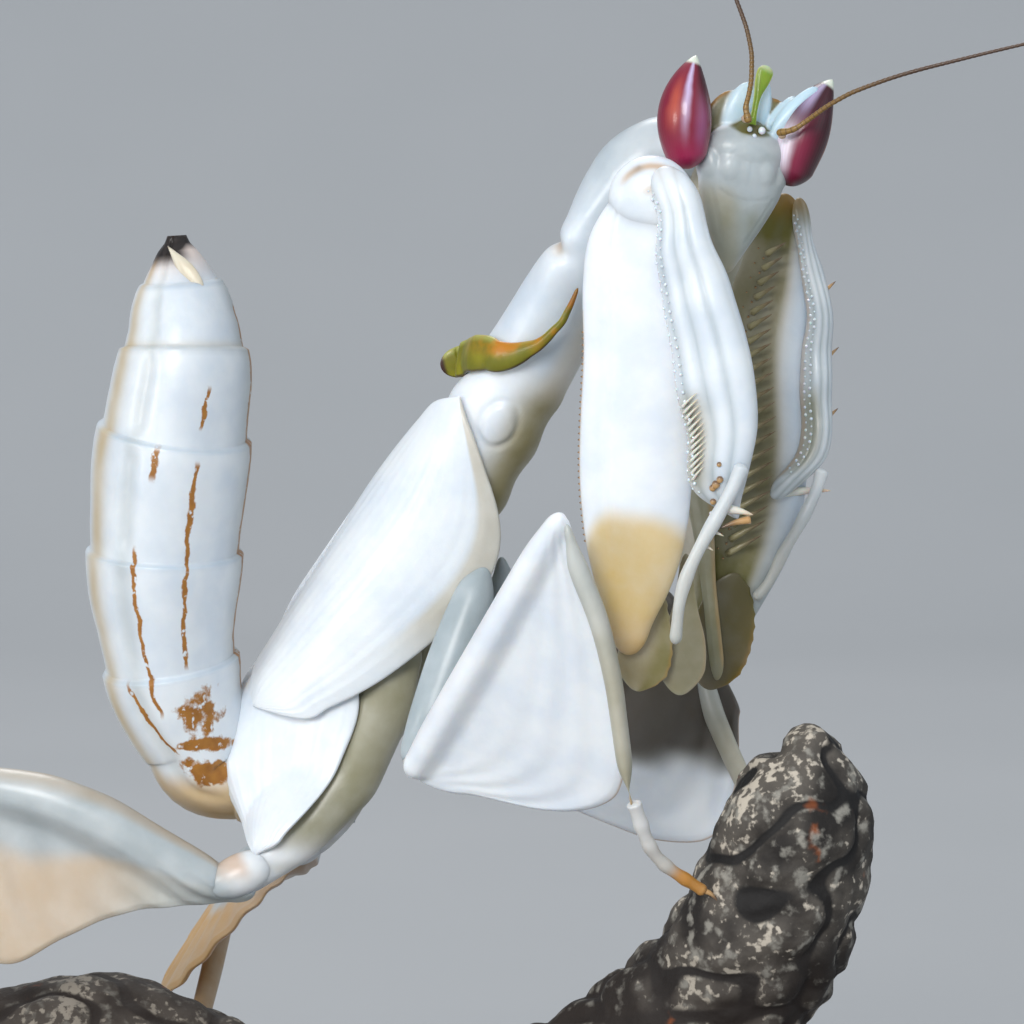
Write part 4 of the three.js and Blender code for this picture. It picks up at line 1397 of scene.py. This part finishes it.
def makeBeadMaterial(ground, cloud):
    r = Recipe("bead", ground)
    r.tint(r.noise(0.15, 2), cloud)
    return r.finish(Roughness=0.15, CoatWeight=0.8, SubsurfaceWeight=0.3, SubsurfaceScale=0.0003)


def makeCombMaterial(root, tip, fleck):
    r = Recipe("comb", root)
    r.tint(r.ramp(r.field("along"), 0.4, 1.0), tip)
    r.tint(r.times(r.noise(0.2, 3), 0.4), fleck)
    return r.finish(Roughness=0.3, CoatWeight=0.4, SubsurfaceWeight=0.3, SubsurfaceScale=0.0003)


horny = makeSpineMaterial("spine", *hardParts["horn"])
build("leg_spines", spines, horny)
build("leg_thorns", thorns, makeSpineMaterial("thorn", *hardParts["thorn"]))
build("leg_claws", claws, horny)
build("leg_warts", warts, horny)
build("leg_beads", beads, makeBeadMaterial(*hardParts["bead"]))
build("leg_combs", combs, makeCombMaterial(*hardParts["comb"]))

# The branch: rough dark bark over a traced line
branch = {
    "ridge": 0.22, "seed": 4.0, "fine": 0.12, "rings": 360, "around": 130,
    "ground": "#17110d", "brown": "#57514a", "grey": "#8f8b82", "lichen": "#bdb3a4", "crack": "#0e0a09",
    "shadow": "#24160b", "ember": "#a4531c",
}


def makeBark():
    r = Recipe("bark", branch["ground"])
    large, small = r.noise(2.6, 5), r.noise(0.5, 6)
    r.tint(r.ramp(large, 0.38, 0.6), branch["brown"])
    r.tint(r.ramp(small, 0.52, 0.7), branch["grey"])
    r.tint(r.ramp(r.times(large, r.noise(0.28, 4)), 0.29, 0.36), branch["lichen"])
    # painted shade: near black down in the cracks, and darker brown towards the branch's foot
    r.tint(r.ramp(r.field("deep"), 0.2, 0.8), branch["crack"])
    r.tint(r.times(r.field("dusk"), 0.6), branch["shadow"])
    r.tint(r.times(r.ramp(r.noise(1.8, 3), 0.66, 0.74), r.ramp(small, 0.4, 0.55), 0.8), branch["ember"])
    r.relief(r.math("ADD", small, large), 0.7, 0.0001)
    return r.finish(Roughness=0.75)


def makeBranch():
    name = "perch_branch"
    start, top = endOf(name, (-1, 0, 0), 0.4), endOf(name, (0, 0, 1), 0.2)
    line, sizes = trace(name, start, (1, 0, 0.1), (0, -1, 0), 0.9, 4.6)
    line = np.concatenate([[start], line, [top]])
    sizes = np.concatenate([sizes[:1], sizes, sizes[-1:] * 0.7])
    shares, around = np.linspace(0, 1, branch["rings"]), branch["around"]
    shape = oval(varied(*sizes[:, 0]), varied(*sizes[:, 1]), (0.012, 0.05))
    sheet = sweep(line, (0, -1, 0), shape, around=around, shares=shares)
    spots = sheet["points"]
    crack = np.clip(np.abs(rough(spots * (0.6, 1, 1), 1.7, branch["seed"])) * 3, 0, 1)
    fine = rough(spots * (0.5, 1, 1), 0.55, branch["seed"] + 9)
    middle = np.concatenate([np.repeat(strand(line, shares), around, axis=0), spots[-2:]])
    lift = branch["ridge"] * (crack - 0.75) + branch["fine"] * fine
    sheet["points"] = spots + unit(spots - middle) * lift[:, None]
    # painted shade: near black down in the cracks, and darker towards its foot
    paint(sheet, deep=smooth(0.5, 0.05, crack), dusk=smooth(top[2] - 4, top[2] - 11, spots[:, 2]))
    build(name + "_bark", [sheet], makeBark(), [name])


makeBranch()

# The stand keeps its own shape, and takes a dark wood and brushed steel
stand = {"wood": ("#2b1d15", "#4b3426", "#1c120d"), "steel": ("#7f8184", "#a9abad")}


def makeWood(ground, grain, vein):
    r = Recipe("darkWood", ground)
    r.tint(r.ramp(r.noise(1.2, 6, (0.12, 1, 1)), 0.35, 0.65), grain)
    fine = r.noise(0.3, 4, (0.05, 1, 1))
    r.tint(r.ramp(fine, 0.55, 0.7, 0.0, 0.5), vein)
    r.relief(fine, 0.15)
    return r.finish(Roughness=0.45, CoatWeight=0.25)


def makeSteel(ground, line):
    r = Recipe("brushedSteel", ground)
    lines = r.noise(0.5, 3, (1, 1, 0.04))
    r.tint(lines, line)
    return r.finish(Metallic=1.0, Roughness=r.ramp(lines, 0.2, 0.8, 0.28, 0.45))


wood, steel = makeWood(*stand["wood"]), makeSteel(*stand["steel"])
for node, material in (("stand_base", wood), ("stand_rod_1", steel), ("stand_rod_2", steel)):
    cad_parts[node].data.materials.clear()
    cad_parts[node].data.materials.append(material)

# The cerci at the end of the abdomen: cream leaves with a pointed tip
cercus = {
    "wide": (0.02, 0.12, 0.22, 0.26, 0.22, 0.1), "thick": 0.1,
    # how far the root and the tip lie from the solid's, as mm right and up
    "right": ((-0.45, -0.1), (0, -0.5)), "left": ((0, -0.9), (0, -0.6)),
}


def makeCercus(label):
    name = f"cercus_{label}"
    ends = sorted(tips(name), key=lambda tip: -tip[2])
    high, low = [end + right * x + up * z for end, (x, z) in zip(ends, cercus[label])]
    line = [high, (high + low) / 2 + (0.05, -0.1, 0), low]
    shape = oval(varied(*cercus["wide"]), steady(cercus["thick"]), (0.0, 0.1))
    leaf = sweep(line, (0.8, 0.4, 0.6), shape, 50, 32)
    paint(leaf, warm=0.55, tan=0.2, dark=0.7 * smooth(0.1, 0.0, leaf["u"]))
    build(name + "_leaf", [leaf], skin, [name])


makeCercus("right")
makeCercus("left")

# Light, floor and camera
studio = {
    "angle": 26.0, "rise": 5.0, "away": 0.14, "aim": (0, 0, 0.034), "lens": 158.8,
    "paper": ("#b0b2b4", "#b8b9bb"), "sky": (0.82, 0.91, 1, 1), "skyLight": 0.62,
    # half width of the floor, where it starts to rise, the radius of its bend, and its height
    "floor": (2.5, 0.25, 0.18, 1.5),
    # each lamp: the way to it and its height in degrees, how far away, its size, power and colour
    "lamps": {
        "keyLight": (10, 25, 0.4, 0.16, 0.98, (1, 0.985, 0.96)),
        "fillLight": (95, 25, 0.4, 0.3, 0.1, (0.88, 0.94, 1)),
        "lowLight": (-32, 8, 0.4, 0.12, 0.34, (1, 0.98, 0.95)),
        "rimLight": (215, 50, 0.35, 0.15, 0.35, (1, 0.98, 0.96)),
    },
}


def makeFloor():
    half, start, bend, high = studio["floor"]
    run = [(-half, 0.0), (start, 0.0)]
    for t in np.linspace(0.1, math.pi / 2, 14):
        run.append((start + bend * math.sin(t), bend - bend * math.cos(t)))
    run.append((start + bend, high))
    spots = [(x, y, z) for y, z in run for x in (-half, 0, half)]
    corner = [3 * row + column for row in range(len(run) - 1) for column in (0, 1)]
    quads = [[k, k + 1, k + 4, k + 3] for k in corner]
    floor = placed("floor", meshOf("floor", spots, quads))
    floor.rotation_euler.z = math.radians(studio["angle"])
    r = Recipe("paperFloor", studio["paper"][0])
    r.tint(r.noise(40, 2), studio["paper"][1])
    floor.data.materials.append(r.finish(Roughness=0.9))


# Puts a lamp or a camera round the model, looking at it
def aimed(name, data, azimuth, elevation, away):
    thing = placed(name, data)
    a, e = math.radians(azimuth), math.radians(elevation)
    outward = Vector((math.sin(a) * math.cos(e), -math.cos(a) * math.cos(e), math.sin(e)))
    thing.location = Vector(studio["aim"]) + outward * away
    thing.rotation_mode = "QUATERNION"
    thing.rotation_quaternion = (-outward).to_track_quat("-Z", "Y")
    return thing


def makeStudio():
    makeFloor()
    for name, (azimuth, elevation, away, size, power, colour) in studio["lamps"].items():
        data = bpy.data.lights.new(name, "AREA")
        data.shape, data.size, data.energy, data.color = "DISK", size, power, colour
        aimed(name, data, azimuth, elevation, away)
    world = bpy.data.worlds.new("sky")
    world.use_nodes = True
    sky = world.node_tree.nodes["Background"].inputs
    sky["Color"].default_value, sky["Strength"].default_value = studio["sky"], studio["skyLight"]
    bpy.context.scene.world = world
    bpy.context.scene.view_settings.view_transform = "Standard"
    data = bpy.data.cameras.new("camera")
    data.lens, data.sensor_width, data.clip_start = studio["lens"], 36, 0.01
    bpy.context.scene.camera = aimed("camera", data, studio["angle"], studio["rise"], studio["away"])


makeStudio()
print("studio set")
